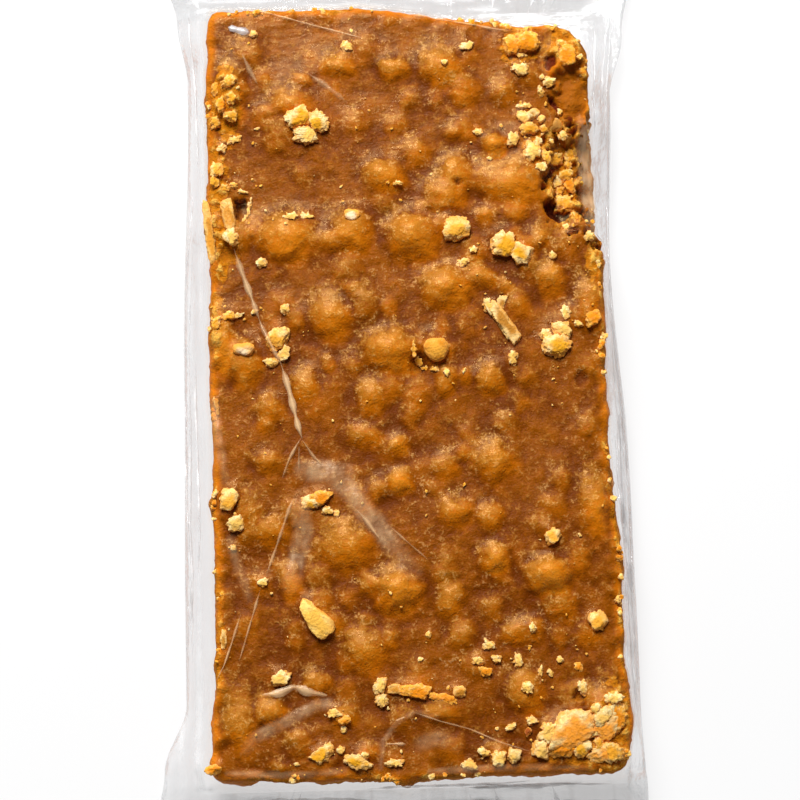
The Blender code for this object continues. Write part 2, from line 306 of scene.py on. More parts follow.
class Nodes:
    """The node tree of one material, or of the world."""

    def __init__(self, owner: bpy.types.Material | bpy.types.World, place: str = "Object") -> None:
        """Empties the tree of a material or a world.

        Args:
            owner: The material or world.
            place: Which coordinates its textures lie in.
        """
        owner.use_nodes = True
        self.owner = owner
        self.tree = owner.node_tree
        self.tree.nodes.clear()
        self.place = self.add("ShaderNodeTexCoord", {}, {}, place)

    def add(self, kind: str, settings: dict[str, Any], sockets: dict[Any, Any], out: Any = 0) -> Any:
        """Adds one node.

        Args:
            kind: The node's type.
            settings: Its properties, set first.
            sockets: Values or wires by input name or number.
            out: The output that is wanted, by name or number.

        Returns:
            The Wire of that output, or None from a node that has no outputs.
        """
        node = self.tree.nodes.new(kind)
        for key, value in settings.items():
            setattr(node, key, value)
        for key, value in sockets.items():
            if isinstance(value, Wire):
                self.tree.links.new(value.socket, node.inputs[key])
            else:
                node.inputs[key].default_value = value
        return Wire(self, node.outputs[out]) if node.outputs else None

    def value(self, name: str) -> Wire:
        """Returns the number that the mesh keeps under name."""
        return self.add("ShaderNodeAttribute", {"attribute_name": name}, {}, "Fac")

    def colour(self, name: str, out: str = "Color") -> Wire:
        """Returns the colour that the mesh keeps under name, or its fourth number under "Alpha"."""
        return self.add("ShaderNodeAttribute", {"attribute_name": name}, {}, out)

    def grain(
        self, size: float, detail: float = 2.0, rough: float = 0.5, stretch: Colour | None = None
    ) -> Wire:
        """Adds a noise.

        Args:
            size: Size of its largest pieces, in millimetres.
            detail: How many finer layers it has.
            rough: How strong those are.
            stretch: How much denser it is along each axis.

        Returns:
            The noise, about 0.2 to 0.8.
        """
        place = self.place
        if stretch is not None:
            place = self.add("ShaderNodeMapping", {}, {"Vector": place, "Scale": stretch}, "Vector")
        sockets = {"Vector": place, "Scale": 1.0 / (size * MM), "Detail": detail, "Roughness": rough}
        return self.add("ShaderNodeTexNoise", {}, sockets, "Fac")

    def granules(self, size: float) -> Wire:
        """Returns the distance inside cells of the given size in millimetres."""
        sockets = {"Vector": self.place, "Scale": 1.0 / (size * MM)}
        return self.add("ShaderNodeTexVoronoi", {"feature": "F1"}, sockets, "Distance")

    def blend(self, low: Any, high: Any, share: Any) -> Wire:
        """Mixes two colours.

        Args:
            low: The colour at share 0.
            high: The colour at share 1.
            share: How much of the second colour.

        Returns:
            The mixed colour.
        """
        low, high = (c if isinstance(c, Wire) else (*c, 1.0) for c in (low, high))
        return self.add("ShaderNodeMix", {"data_type": "RGBA"}, {0: share, 6: low, 7: high}, 2)

    def bump(self, height: Wire, depth: float) -> Wire:
        """Returns the normal of a surface raised by height times depth, in millimetres."""
        sockets = {"Height": height, "Distance": depth * MM}
        return self.add("ShaderNodeBump", {}, sockets, "Normal")

    def mixed(self, share: Any, first: Wire, second: Wire) -> Wire:
        """Returns the Mix Shader of two shaders."""
        return self.add("ShaderNodeMixShader", {}, {0: share, 1: first, 2: second})

    def finish(self, surface: Wire) -> bpy.types.Material:
        """Ends the tree in a surface and returns its material."""
        self.add("ShaderNodeOutputMaterial", {}, {"Surface": surface})
        return self.owner


# ---------------------------------------------------------------- finishes


@dataclass(frozen=True)
class CandyFinish:
    """Satin caramel glaze over peanuts, crumbly and lighter where it is broken. Its colours hold painted light
    and shade: glow and sheen on the lumps, glints, and shade in valleys and pits.
    """

    # The first colour is the glaze's darker brown, and also the painted shade in its valleys and crumbly
    # hollows.
    deep: Colour = (0.165, 0.033, 0.000)
    brown: Colour = (0.300, 0.076, 0.000)
    tan: Colour = (0.455, 0.192, 0.018)
    amber: Colour = (0.560, 0.143, 0.000)
    honey: Colour = (0.790, 0.242, 0.006)
    # Partly paler candy and partly a painted highlight on the lumps' lit side.
    pale_amber_highlight: Colour = (0.760, 0.325, 0.028)
    # Painted glints: small highlights painted into the glaze's colour.
    painted_glint: Colour = (0.900, 0.520, 0.210)
    face: Colour = (0.390, 0.105, 0.000)
    crumb: Colour = (0.580, 0.190, 0.003)
    pale_crumb: Colour = (0.870, 0.490, 0.085)
    # Painted shade: the colour that shaded pits are given.
    pit: Colour = (0.150, 0.016, 0.002)
    roughness: float = 0.46
    specular: float = 0.07
    patch_size: float = 14.0
    zone_size: float = 9.0
    cloud_size: float = 2.8
    ripple_size: float = 1.25
    dust_size: float = 0.42
    painted_glint_share: float = 0.36
    relief_depth: float = 0.7
    scatter: float = 0.08
    scatter_radius: Colour = (1.0, 0.35, 0.08)
    scatter_scale: float = 0.0012

    def material(self) -> bpy.types.Material:
        """Makes the slab's material.

        Returns:
            The material.
        """
        n = Nodes(bpy.data.materials.new("caramel_glaze"))
        lump, crest, broken = n.value("lump"), n.value("crest"), n.value("broken")
        pit, face, rise = n.value("pit"), n.value("face"), n.value("rise")
        sizes = (self.patch_size, self.zone_size, self.cloud_size)
        patches, zones, clouds = (n.grain(size) for size in sizes)
        ripple = n.grain(self.ripple_size, rough=0.55)
        dust = n.grain(self.dust_size, rough=0.6)
        # The rise term is painted shade: glaze in valleys darker, raised glaze lighter.
        tone = patches * 0.6 + clouds * 0.25 + ripple * 0.15 + rise * 0.22 + (dust - 0.5) * 0.28
        glaze = n.blend(self.deep, self.brown, tone.eased(0.31, 0.63))
        # Amber of the peanuts under the glaze, painted stronger on each lump's near side, rim and walls as a
        # stand-in for light shining through.
        glow = (lump + (clouds - 0.5) * 0.7 + (ripple - 0.5) * 0.5 + rise * 0.1).eased(-0.1, 0.9)
        glaze = n.blend(glaze, self.amber, glow * 0.95)
        clear = (lump + (ripple - 0.5) * 0.6 + (clouds - 0.5) * 0.4).eased(0.5, 1.4)
        glaze = n.blend(glaze, self.honey, clear * 0.85)
        # Painted sheen: the lumps' far sides, towards the lamp, turn tan and paler.
        opaque = 1.0 - (lump - crest * 0.7).eased(0.1, 0.9)
        tan_and_sheen = (ripple * 0.6 + dust * 0.4 + rise * 0.08 + crest * 0.22).eased(0.52, 0.74)
        glaze = n.blend(glaze, self.tan, tan_and_sheen * (opaque * 0.4 + 0.15))
        lit = (lump * 0.22 + crest * 0.14 + ripple * 0.8 + dust * 0.7).eased(0.95, 1.3)
        glaze = n.blend(glaze, self.pale_amber_highlight, lit * (opaque * 0.4 + 0.2))
        # Painted glints: small pale highlights in the glaze's colour, most on the lumps' sheen side.
        painted_glints = ripple.eased(0.50, 0.64) * dust.eased(0.46, 0.62)
        painted_glints = painted_glints * (zones * 1.6 + crest * 0.8 - 0.35).eased(0.2, 0.9, 0.1, 1.0) * (opaque * 0.8 + 0.2)
        glaze = n.blend(glaze, self.painted_glint, painted_glints * self.painted_glint_share)
        # Painted light and shade on broken candy: raised bits paler, hollows darker towards the deep colour.
        paler = (ripple * 0.6 + dust * 0.4 + rise * 0.25).eased(0.54, 0.86)
        darker = (rise * -1.0 - (ripple - 0.5) * 1.2).eased(0.25, 0.9)
        open_crumb = n.blend(n.blend(self.crumb, self.pale_crumb, paler), self.deep, darker * 0.35)
        base = n.blend(glaze, open_crumb, (broken + (clouds - 0.5) * 0.9).eased(0.3, 0.65))
        base = n.blend(base, self.face, face * 0.9)
        # Painted shade: shaded pits take the darker colour.
        base = n.blend(base, self.pit, pit.eased(0.05, 0.85))
        rough = ripple.eased(0.3, 0.7, self.roughness - 0.08, self.roughness + 0.14)
        rough = (rough + broken * 0.35).least(0.9)
        relief = clouds * 0.3 + ripple * 0.3 + dust * (broken * 0.5 + 0.24)
        sockets = {
            "Base Color": base,
            "Roughness": rough,
            "Specular IOR Level": self.specular,
            "Subsurface Weight": self.scatter,
            "Subsurface Radius": self.scatter_radius,
            "Subsurface Scale": self.scatter_scale,
            "Normal": n.bump(relief, self.relief_depth),
        }
        return n.finish(n.add("ShaderNodeBsdfPrincipled", {}, sockets))


@dataclass(frozen=True)
class CrumbFinish:
    """Dry broken candy: the colour each crumb keeps, with finer grain and darker pores."""

    pore: Colour = (0.800, 0.340, 0.025)
    sugar: Colour = (1.0, 0.86, 0.50)
    roughness: float = 0.78
    specular: float = 0.15
    speckle_size: float = 0.5
    granule_size: float = 0.45
    relief_depth: float = 0.12

    def material(self) -> bpy.types.Material:
        """Makes the crumbs' material.

        Returns:
            The material.
        """
        n = Nodes(bpy.data.materials.new("dry_crumb"))
        tint, grainy = n.colour("tint"), n.colour("tint", "Alpha")
        speckle = n.grain(self.speckle_size, 3.0, 0.65)
        granule = n.granules(self.granule_size)
        base = n.blend(tint, self.pore, granule.eased(0.5, 0.8) * grainy * 0.5)
        base = n.blend(base, self.sugar, speckle.eased(0.5, 0.64) * grainy * 0.45)
        sockets = {
            "Base Color": base,
            "Roughness": self.roughness,
            "Specular IOR Level": self.specular,
            "Normal": n.bump(speckle - granule * 0.8, self.relief_depth),
        }
        return n.finish(n.add("ShaderNodeBsdfPrincipled", {}, sockets))


@dataclass(frozen=True)
class FilmFinish:
    """Clear wrapping film: see-through, glossy, whitened where it is creased or doubled. The darker tint of
    doubled film at the ends is partly painted shade, strongest at the near end; the whitened creases are
    partly painted highlights where the film glints.
    """

    tint: Colour = (0.960, 0.960, 0.963)
    # Darker tint for film doubled at the ends, and also painted shade, strongest at the near end.
    layered_and_shaded_tint: Colour = (0.840, 0.838, 0.838)
    white: Colour = (0.76, 0.765, 0.77)
    candy_white: Colour = (0.98, 0.64, 0.33)
    shine: Colour = (0.97, 0.99, 1.0)
    candy_shine: Colour = (1.0, 0.64, 0.30)
    ior: float = 1.5
    clinging_most: float = 0.10
    free_most: float = 0.35
    clinging_gloss: float = 0.30
    free_gloss: float = 0.9
    clinging_roughness: float = 0.26
    free_roughness: float = 0.10
    white_roughness: float = 0.3
    wrinkle_size: float = 3.0
    crinkle_size: float = 0.9
    ruck_size: float = 1.7
    relief_depth: float = 0.30
    veil_most: float = 0.95

    def material(self, name: str = "clear_film") -> bpy.types.Material:
        """Makes the film's material.

        Args:
            name: The material's name.

        Returns:
            The material.
        """
        n = Nodes(bpy.data.materials.new(name))
        free, veil, layers = n.value("free"), n.value("veil"), n.value("layers")
        wrinkle = n.grain(self.wrinkle_size, 3.0, 0.55, (1.0, 0.22, 1.0))
        crinkle = n.grain(self.crinkle_size, rough=0.6)
        ruck = n.grain(self.ruck_size, rough=0.6, stretch=(0.4, 1.0, 1.0))
        normal = n.bump(wrinkle * 0.7 + crinkle * 0.25 + ruck * 0.5, self.relief_depth)
        rough = crinkle.eased(0.42, 0.62, self.clinging_roughness + 0.08, self.clinging_roughness - 0.10)
        rough = mix(rough, self.free_roughness, free)
        single = n.add("ShaderNodeBsdfTransparent", {}, {"Color": (*self.tint, 1.0)})
        layered_and_shaded = n.add("ShaderNodeBsdfTransparent", {}, {"Color": (*self.layered_and_shaded_tint, 1.0)})
        gloss = [
            n.add("ShaderNodeBsdfGlossy", {}, {"Color": (*colour, 1.0), "Roughness": rough, "Normal": normal})
            for colour in (self.candy_shine, self.shine)
        ]
        fresnel = n.add("ShaderNodeFresnel", {}, {"IOR": self.ior, "Normal": normal})
        strength = free.eased(0.0, 1.0, self.clinging_gloss, self.free_gloss)
        share = (fresnel * strength).least(free.eased(0.0, 1.0, self.clinging_most, self.free_most))
        film = n.mixed(share, n.mixed(layers, single, layered_and_shaded), n.mixed(free, *gloss))
        white = n.blend(self.candy_white, self.white, free)
        sockets = {"Base Color": white, "Roughness": self.white_roughness, "Normal": normal}
        milky = n.add("ShaderNodeBsdfPrincipled", {}, sockets)
        whitened = (veil * wrinkle.eased(0.3, 0.7, 0.6, 1.25)).least(self.veil_most)
        return n.finish(n.mixed(whitened, film, milky))


@dataclass(frozen=True)
class TableFinish:
    """A plain white table."""

    white: Colour = (0.18, 0.18, 0.18)
    shade: Colour = (0.172, 0.172, 0.174)
    glow: float = 0.76
    patch_size: float = 60.0
    roughness: float = 0.7

    def material(self) -> bpy.types.Material:
        """Makes the table's material.

        Returns:
            The material.
        """
        n = Nodes(bpy.data.materials.new("white_table"))
        base = n.blend(self.white, self.shade, n.grain(self.patch_size))
        sockets = {
            "Base Color": base,
            "Roughness": self.roughness,
            "Emission Color": (1.0, 1.0, 1.0, 1.0),
            "Emission Strength": self.glow,
        }
        return n.finish(n.add("ShaderNodeBsdfPrincipled", {}, sockets))


# ---------------------------------------------------------------- meshes and places


@dataclass(frozen=True)
class Layout:
    """Where the slab's own millimetres lie in the model's metres."""

    shift_x: float = 1.5

    def metres(self, points: Array) -> Array:
        """Returns points of the slab's coordinates in metres."""
        return (points + np.array((self.shift_x, 0.0, 0.0))) * MM


def mesh_object(name: str, mesh: bmesh.types.BMesh, smooth: bool = True) -> bpy.types.Object:
    """Turns a bmesh into an object of the scene.

    Args:
        name: The object's name.
        mesh: The finished bmesh, which is freed.
        smooth: Whether it is shaded smooth.

    Returns:
        The object.
    """
    data = bpy.data.meshes.new(name)
    mesh.to_mesh(data)
    mesh.free()
    if smooth:
        data.shade_smooth()
    made = bpy.data.objects.new(name, data)
    bpy.context.scene.collection.objects.link(made)
    return made


def read_points(data: bpy.types.Mesh) -> Array:
    """Reads a mesh's points.

    Args:
        data: The mesh.

    Returns:
        An array with three columns.
    """
    flat = np.empty(len(data.vertices) * 3)
    data.vertices.foreach_get("co", flat)
    return flat.reshape(-1, 3)


def write_points(data: bpy.types.Mesh, points: Array) -> None:
    """Moves a mesh's points."""
    data.vertices.foreach_set("co", points.ravel())
    data.update()


def keep_values(data: bpy.types.Mesh, **named: Array) -> None:
    """Stores numbers for each point of a mesh.

    Args:
        data: The mesh.
        named: Arrays of the numbers, by the names they are kept under.
    """
    for name, values in named.items():
        made = data.attributes.new(name, "FLOAT", "POINT")
        made.data.foreach_set("value", np.asarray(values, float).ravel())


def keep_colour(data: bpy.types.Mesh, name: str, colours: Array) -> None:
    """Stores one colour for each point under name."""
    made = data.attributes.new(name, "FLOAT_COLOR", "POINT")
    made.data.foreach_set("color", np.asarray(colours, float).ravel())


def dress(piece: bpy.types.Object, material: bpy.types.Material) -> bpy.types.Object:
    """Gives a piece its material and its place on the model, and hides the node it stands for.

    Args:
        piece: The piece.
        material: Its material.

    Returns:
        The piece.
    """
    piece.data.materials.append(material)
    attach(piece, "root")
    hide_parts(NODE)
    log.info("%s: %d faces", piece.name, len(piece.data.polygons))
    return piece


def closed_sheet(columns: int, rows: int, rings: int) -> bmesh.types.BMesh:
    """Makes a square sheet with a rim of rings below it, closed underneath.

    Args:
        columns: Points across the sheet.
        rows: Points along the sheet.
        rings: How many rings of faces the rim has.

    Returns:
        A bmesh whose sheet spans -0.5 to 0.5 at height 0, with ring number k at height -k.
    """
    mesh = bmesh.new()
    bmesh.ops.create_grid(mesh, x_segments=columns - 1, y_segments=rows - 1, size=0.5)
    rim = [edge for edge in mesh.edges if edge.is_boundary]
    for ring in range(1, rings + 1):
        made = bmesh.ops.extrude_edge_only(mesh, edges=rim)["geom"]
        for item in made:
            if isinstance(item, bmesh.types.BMVert):
                item.co.z = -ring
        rim = [item for item in made if isinstance(item, bmesh.types.BMEdge) and item.is_boundary]
    bmesh.ops.holes_fill(mesh, edges=rim, sides=0)
    bmesh.ops.recalc_face_normals(mesh, faces=mesh.faces)
    return mesh


# ---------------------------------------------------------------- the slab


class Mound(NamedTuple):
    """A round rise of the glaze over a peanut."""

    x: float
    y: float
    width: float
    length: float
    rise: float
    glow: float = 1.0


class Hollow(NamedTuple):
    """A hollow or an open face where the slab is broken, turned by an angle in degrees."""

    x: float
    y: float
    width: float
    length: float
    depth: float
    crumbly: float = 1.0
    # Painted shade: how much of the darker colour the hollow gets where shade falls in it.
    pit_shading: float = 0.0
    face: float = 0.0
    turn: float = 0.0


LUMPS = tuple(Mound(*row) for row in (
    (-11.1, 59.8, 4.7, 4, 1), (-1.3, 58.8, 5.1, 3.6, 1), (7.3, 59, 6.6, 6.2, 1.1),
    (-12.7, 69, 2.9, 1.8, 0.5), (-18.4, 57.2, 3.3, 2.2, 0.6), (-20.4, 53.1, 7.3, 4.4, 0.9),
    (16.9, 44.2, 4, 3.6, 1.2, 1.6), (9.1, 46.6, 2.9, 2.5, 0.6), (9.5, 39.1, 5.5, 5.5, 1.1),
    (19.4, 37, 10.9, 7.3, 1.5, 1.2), (7.6, 35.5, 7.3, 5.5, 1.1), (6.6, 32.7, 7.3, 2.4, 0.7),
    (-3.3, 38.6, 6.2, 4.7, 1.1, 1.2), (2.3, 43.1, 4.7, 4.7, 0.7), (1.3, 27.3, 8.2, 7.3, 1.8, 1.2),
    (14.7, 31, 2.9, 2.7, 0.8, 1.3), (-21.7, 27.9, 9.1, 7.3, 1.7, 1.2), (-9.5, 28.5, 6.4, 6.4, 1.4, 1.1),
    (-13.6, 26.7, 5.5, 3.6, 0.8), (-28.1, 28.6, 4.5, 3.6, 0.6), (24.5, 26.3, 3.6, 3.6, 0.8),
    (20.2, 31.4, 4.7, 2.5, 0.7), (7.1, 17.9, 8.2, 6.4, 1.6, 1.1), (13.4, 19.6, 5.5, 3.6, 1),
    (17.9, 17.6, 3.6, 2.5, 0.6), (26.1, 19.2, 4.7, 5.5, 1.1, 1.1), (33.2, 14.5, 4.7, 7.3, 0.9),
    (5, 7, 5.1, 4.7, 0.6, 1.2), (-3.2, 6.6, 9.1, 6.6, 1.7, 1.2), (-13.8, 12.9, 6.6, 6.6, 1.3),
    (-10.1, 18, 3.6, 2.5, 0.5), (-3.3, 14.5, 2.5, 2.9, 0.5), (-14.4, 4.4, 2.9, 2.5, 0.5),
    (-18.6, 0.3, 4.4, 5.5, 0.8), (-7, -1.8, 4, 5.5, 1), (6.6, 0.6, 3.6, 4.4, 0.8),
    (10.2, 1.4, 2.5, 2.5, 0.5), (14.7, 0.7, 4.4, 4.4, 1), (-25.9, -6.7, 3.3, 2.9, 0.6),
    (-1.8, -11, 3.3, 2.9, 0.9, 1.4), (-8, -9, 6.6, 3.6, 0.7), (-2, -17.3, 4.4, 4, 1.1, 1.5),
    (15.1, -14.1, 6.6, 6.2, 1.2), (9.8, -12.5, 3.3, 2.5, 0.5), (6.1, -14.8, 4.4, 3.6, 0.7),
    (7.7, -22.9, 5.5, 4.4, 1.1), (13.9, -23.9, 4.4, 4.4, 0.8), (14.6, -31.4, 4.4, 4.4, 1.3, 1.5),
    (23.9, -34.8, 6.9, 5.5, 1.8, 1.6), (-3, -36.8, 7.3, 6.6, 1.9, 1.5), (-12, -28.6, 9.1, 7.3, 1.5),
    (-25.3, -25.6, 6.2, 4.4, 0.9), (-21.9, -34.6, 3.6, 5.5, 0.8, 1.3), (-7.7, -35.8, 4, 3.6, 0.8),
    (-8.9, -47.2, 6.6, 6.6, 1.2), (-4.4, -45.6, 2.9, 2.9, 0.5), (-17.8, -52.8, 4.4, 4, 0.8),
    (6.4, -38.8, 4, 5.5, 0.9), (17.7, -44.7, 4.4, 3.6, 0.9), (19.1, -55.3, 5.5, 6.6, 1.1),
    (-25.8, -57.6, 5.5, 4.4, 1), (-31.1, -59.7, 5.5, 7.3, 1), (-12.7, -58.5, 4.4, 3.3, 0.8),
    (-8.4, -64.6, 3.6, 2.9, 0.6), (4, -58.4, 5.5, 2.9, 0.8), (32.2, -57, 4.7, 4.7, 0.8),
    (28.4, 59.8, 4.4, 6.6, 0.9, 1.2), (-31.2, 55, 4.4, 8.8, 1.2, 1.2), (-33.6, 8.6, 4.2, 8.8, 1.1, 1.5),
    (-29.6, 4.6, 5.6, 7, 1.3, 0.9), (32.6, -22, 4.4, 9, 0.9, 1.3),
))

HOLLOWS = tuple(Hollow(*row) for row in (
    (27.6, 59.2, 2.8, 3.2, 1.4, 0.3, 0.8), (31.8, 53, 8, 13, 1.3, 0.1), (31.1, 53, 6.4, 10.4, 0, 0, 0, 1),
    (25.4, 35.2, 1.9, 8.8, 0, 0, 0, 0.8), (28.4, 44, 5.6, 6, 0.6, 1), (30, 38.4, 8.4, 19, 3.6, 1),
    (35.4, 38, 7.6, 24, 5.4, 0.3, 0, 0.4), (35.2, 38, 3.6, 24, 0, 1), (26.8, 31.9, 2.1, 5.2, 3.8, 0.4, 1),
    (28.4, 30.6, 5, 2.6, 4, 0.4, 1), (28, 51.6, 1, 3.8, 1.8, 0.2, 1, 0, 38),
    (31.1, 48.8, 1.4, 1.4, 1.4, 0.6, 0.7), (27.1, 38.8, 1.6, 3.4, 3, 0.6, 1, 0, -24),
    (9.8, 36.6, 1.4, 1.6, 0.7, 0.2, 0.5), (2.2, 3.8, 4, 3.6, 1.2, 0.4, 0.15),
    (-29.7, 33.2, 2.4, 3.6, 2.2, 0.5, 0.35), (-30.6, 34.6, 1, 1.4, 1.2, 0.3, 0.8),
    (-32, 25.6, 3.4, 6, 1, 0.7, 0.1), (31, 0.6, 2.6, 4.4, 0.6, 0.2, 0.1),
    (28.6, -56, 2.2, 2.4, 1, 0.6, 0.3), (-32.2, 53, 5.4, 14, 0, 0.85), (-33.8, 33, 3.4, 26, 0, 0.9),
    (-34.6, 12, 2.6, 14, 0, 0.6), (-34.8, -44, 2.4, 8, 0, 0.5), (31.4, 62.4, 9, 6, 0, 0.85),
    (22, 62.2, 6.4, 6, 0, 0.8), (24.6, 44, 4.4, 7, 0, 0.7), (34, 22, 2.6, 9, 0, 0.6),
    (34.8, -61, 5.4, 14, 0, 0.8), (28, -66, 12, 6, 0, 0.5),
))


@dataclass
class SlabForm:
    """Outline and relief of the slab, in millimetres."""

    length: float = 140.8
    thickness: float = 14.6
    left_edge: float = -35.5
    right_edge: float = 35.8
    near_edge: float = -69.8
    wider_near_end: float = 1.3
    far_end_slant: float = 3.2
    far_end_step: float = 1.2
    broken_inset: float = 1.2
    broken_from_y: float = 26.5
    side_unevenness: float = 0.4
    near_end_unevenness: float = 0.3
    side_crag: float = 4.0
    end_crag: float = 5.0
    edge_rounding: float = 2.0
    edge_drop: float = 0.8
    far_draw: float = 30.0
    near_draw: float = 10.0
    corner_radii: dict[tuple[int, int], float] = field(
        default_factory=lambda: {(-1, -1): 1.6, (1, -1): 3.5, (-1, 1): 2.5, (1, 1): 7.0}
    )
    left_bulges: Bulges = (
        (52, 0.5, 20), (33, 0.6, 13), (8, 0.6, 9), (-1, 0.5, 7), (-21, 0.5, 6), (-60, 0.8, 11), (-67, 1.1, 5)
    )
    right_bulges: Bulges = ((-60, 1.1, 11), (-32, 0.4, 6), (11, 0.3, 8), (36, 0.6, 20))
    near_bulges: Bulges = ((-2, 1.2, 4), (-9, 0.5, 34))
    small_lumps: int = 130
    small_lump_width: tuple[float, float] = (2.8, 5.2)
    small_lump_rise: float = 0.12
    small_lump_glow: tuple[float, float] = (0.2, 1.0)
    small_lump_gap: float = 0.42
    small_lump_margin: float = 2.0
    lump_share: float = 1.4
    lump_spread: float = 0.75
    lump_power: float = 1.6
    lump_overlap: float = 0.35
    # Painted light: the first spot moves each lump's amber glow to its near side, as if lit through; the far
    # spot sets a painted sheen on its side towards the lamp.
    painted_glow_spot: tuple[float, float] = (0.12, -0.3)
    painted_glow_power: float = 1.5
    painted_sheen_spot: tuple[float, float] = (-0.2, 0.45)
    lump_shift_x: tuple[Layer, ...] = (Layer(0.8, 3.2, 60), Layer(0.4, 1.4, 61))
    lump_shift_y: tuple[Layer, ...] = (Layer(0.8, 3.2, 62), Layer(0.4, 1.4, 63))
    hollow_rim: tuple[Layer, ...] = (Layer(0.35, 1.4, 7), Layer(0.35, 3.1, 8), Layer(0.3, 0.7, 9.5))
    hollow_fades: dict[str, tuple[float, float]] = field(default_factory=lambda: {
        "depth": (0.55, 1.2), "crumbly": (0.75, 1.35), "pit_shading": (0.55, 1.05), "face": (0.8, 1.1)
    })
    swell_height: float = 0.7
    swell_length: float = 19.0
    crag_band: float = 4.0
    crag_height: float = 1.1
    crag_size: float = 2.6
    crumbly_band: tuple[float, float] = (-1.7, -0.3)
    crumbly_share: tuple[float, float] = (0.1, 0.8)

    def __post_init__(self) -> None:
        """Works the slowly varying sides out once."""
        self.far_edge = self.near_edge + self.length
        reach = self.length
        self.left = sampled(self.left_side, reach)
        self.right = sampled(self.right_side, reach)
        self.far = sampled(self.far_end, reach)
        self.near = sampled(self.near_end, reach)
        self.mounds = [*LUMPS, *self.lesser_lumps()]

    @staticmethod
    def bulge(bulges: Bulges, at: Array) -> Array:
        """Returns how far a side stands out at each place."""
        return sum(out * np.exp(-(((at - middle) / (length / 2)) ** 2)) for middle, out, length in bulges)

    def left_side(self, y: Array) -> Array:
        """Returns the slab's left side."""
        uneven = self.side_unevenness * crag(self.left_edge, y, self.side_crag)
        return self.left_edge - self.bulge(self.left_bulges, y) + uneven

    def right_side(self, y: Array) -> Array:
        """Works out the slab's right side, stepped in beside the broken corner.

        Args:
            y: Places along the slab.

        Returns:
            The side's place across, at each of them.
        """
        swell = self.wider_near_end * smooth_step(-14, -34, y)
        broken = self.broken_inset * smooth_step(self.broken_from_y - 1, self.broken_from_y + 1, y)
        uneven = self.side_unevenness * crag(self.right_edge, y, self.side_crag)
        return self.right_edge + swell - broken + self.bulge(self.right_bulges, y) + uneven

    def far_end(self, x: Array) -> Array:
        """Returns the slab's far end, slanting back to its broken corner."""
        slant = self.far_end_slant * smooth_step(-10, 16, x) + self.far_end_step * smooth_step(18, 22, x)
        return self.far_edge - slant + self.side_unevenness * crag(x, self.far_edge, self.end_crag)

    def near_end(self, x: Array) -> Array:
        """Returns the slab's near end, with a lump that stands out left of the middle."""
        uneven = self.near_end_unevenness * crag(x, self.near_edge, self.end_crag)
        return self.near_edge - self.bulge(self.near_bulges, x) + uneven

    def end_shares(self, y: Array) -> tuple[Array, Array]:
        """Returns how far each place along the slab follows the shape of its far and its near end."""
        far = smooth_step(self.far_edge - self.far_draw, self.far_edge, y)
        return far, smooth_step(self.near_edge + self.near_draw, self.near_edge, y)

    def lesser_lumps(self) -> list[Mound]:
        """Spreads the lesser peanuts evenly over the slab by chance.

        Returns:
            The lumps, lower and duller than the ones with places of their own.
        """
        chance = random.Random(SEED)
        placed: list[Mound] = []
        gap, margin = self.small_lump_gap, self.small_lump_margin
        while len(placed) < self.small_lumps:
            x = chance.uniform(self.left_edge + margin, self.right_edge - margin)
            y = chance.uniform(self.near_edge + margin, self.far_edge - 2 * margin)
            width = chance.uniform(*self.small_lump_width)
            length = width * chance.uniform(0.75, 1.3)
            rise = width * self.small_lump_rise * chance.uniform(0.5, 1.3)
            if all(math.hypot(x - other.x, y - other.y) > gap * (width + other.width) for other in placed):
                placed.append(Mound(x, y, width, length, rise, chance.uniform(*self.small_lump_glow)))
        return placed

    def corner_radius(self, x: Array, y: Array) -> Array:
        """Finds the radius of the corner that each point is nearest to.

        Args:
            x: Places across the slab.
            y: Places along the slab.

        Returns:
            The radius for each of them.
        """
        near = np.where(x > 0, self.corner_radii[(1, -1)], self.corner_radii[(-1, -1)])
        far = np.where(x > 0, self.corner_radii[(1, 1)], self.corner_radii[(-1, 1)])
        return np.where(y > 0, far, near)

    def past(self, x: Array, y: Array) -> tuple[Array, Array, Array]:
        """Measures points against the slab's outline.

        Args:
            x: Places across the slab.
            y: Places along the slab.

        Returns:
            How far each point lies outside, less than 0 inside, and how far across and along.
        """
        out_x = np.maximum(self.left(y) - x, x - self.right(y))
        out_y = np.maximum(self.near(x) - y, y - self.far(x))
        radius = self.corner_radius(x, y)
        over_x = np.maximum(out_x + radius, 0.0)
        over_y = np.maximum(out_y + radius, 0.0)
        distance = np.hypot(over_x, over_y) + np.minimum(np.maximum(out_x, out_y) + radius, 0.0) - radius
        return distance, np.maximum(out_x, 0.0), np.maximum(out_y, 0.0)

    def distance(self, x: Array, y: Array) -> Array:
        """Returns how far each point lies outside the slab's outline, less than 0 inside."""
        return self.past(x, y)[0]

    def rounded(self, x: Array, y: Array) -> tuple[Array, Array, Array, Array]:
        """Draws the corners of a square-cornered outline in to their arcs.

        Args:
            x: Places across the slab.
            y: Places along the slab.

        Returns:
            The new places, and the way out of the outline at each of them.
        """
        side_x, side_y = np.sign(x), np.sign(y)
        radius = self.corner_radius(x, y)
        edge_x = np.where(x > 0, self.right(y), self.left(y))
        edge_y = np.where(y > 0, self.far(x), self.near(x))
        over_x = np.maximum(side_x * (x - edge_x) + radius, 0.0)
        over_y = np.maximum(side_y * (y - edge_y) + radius, 0.0)
        both = (over_x > 0) & (over_y > 0)
        reach = np.maximum(np.hypot(over_x, over_y), 1e-6)
        pull = np.where(both, np.maximum(over_x, over_y) / reach, 1.0)
        new_x = x - side_x * over_x * (1.0 - pull)
        new_y = y - side_y * over_y * (1.0 - pull)
        return new_x, new_y, side_x * over_x / reach, side_y * over_y / reach

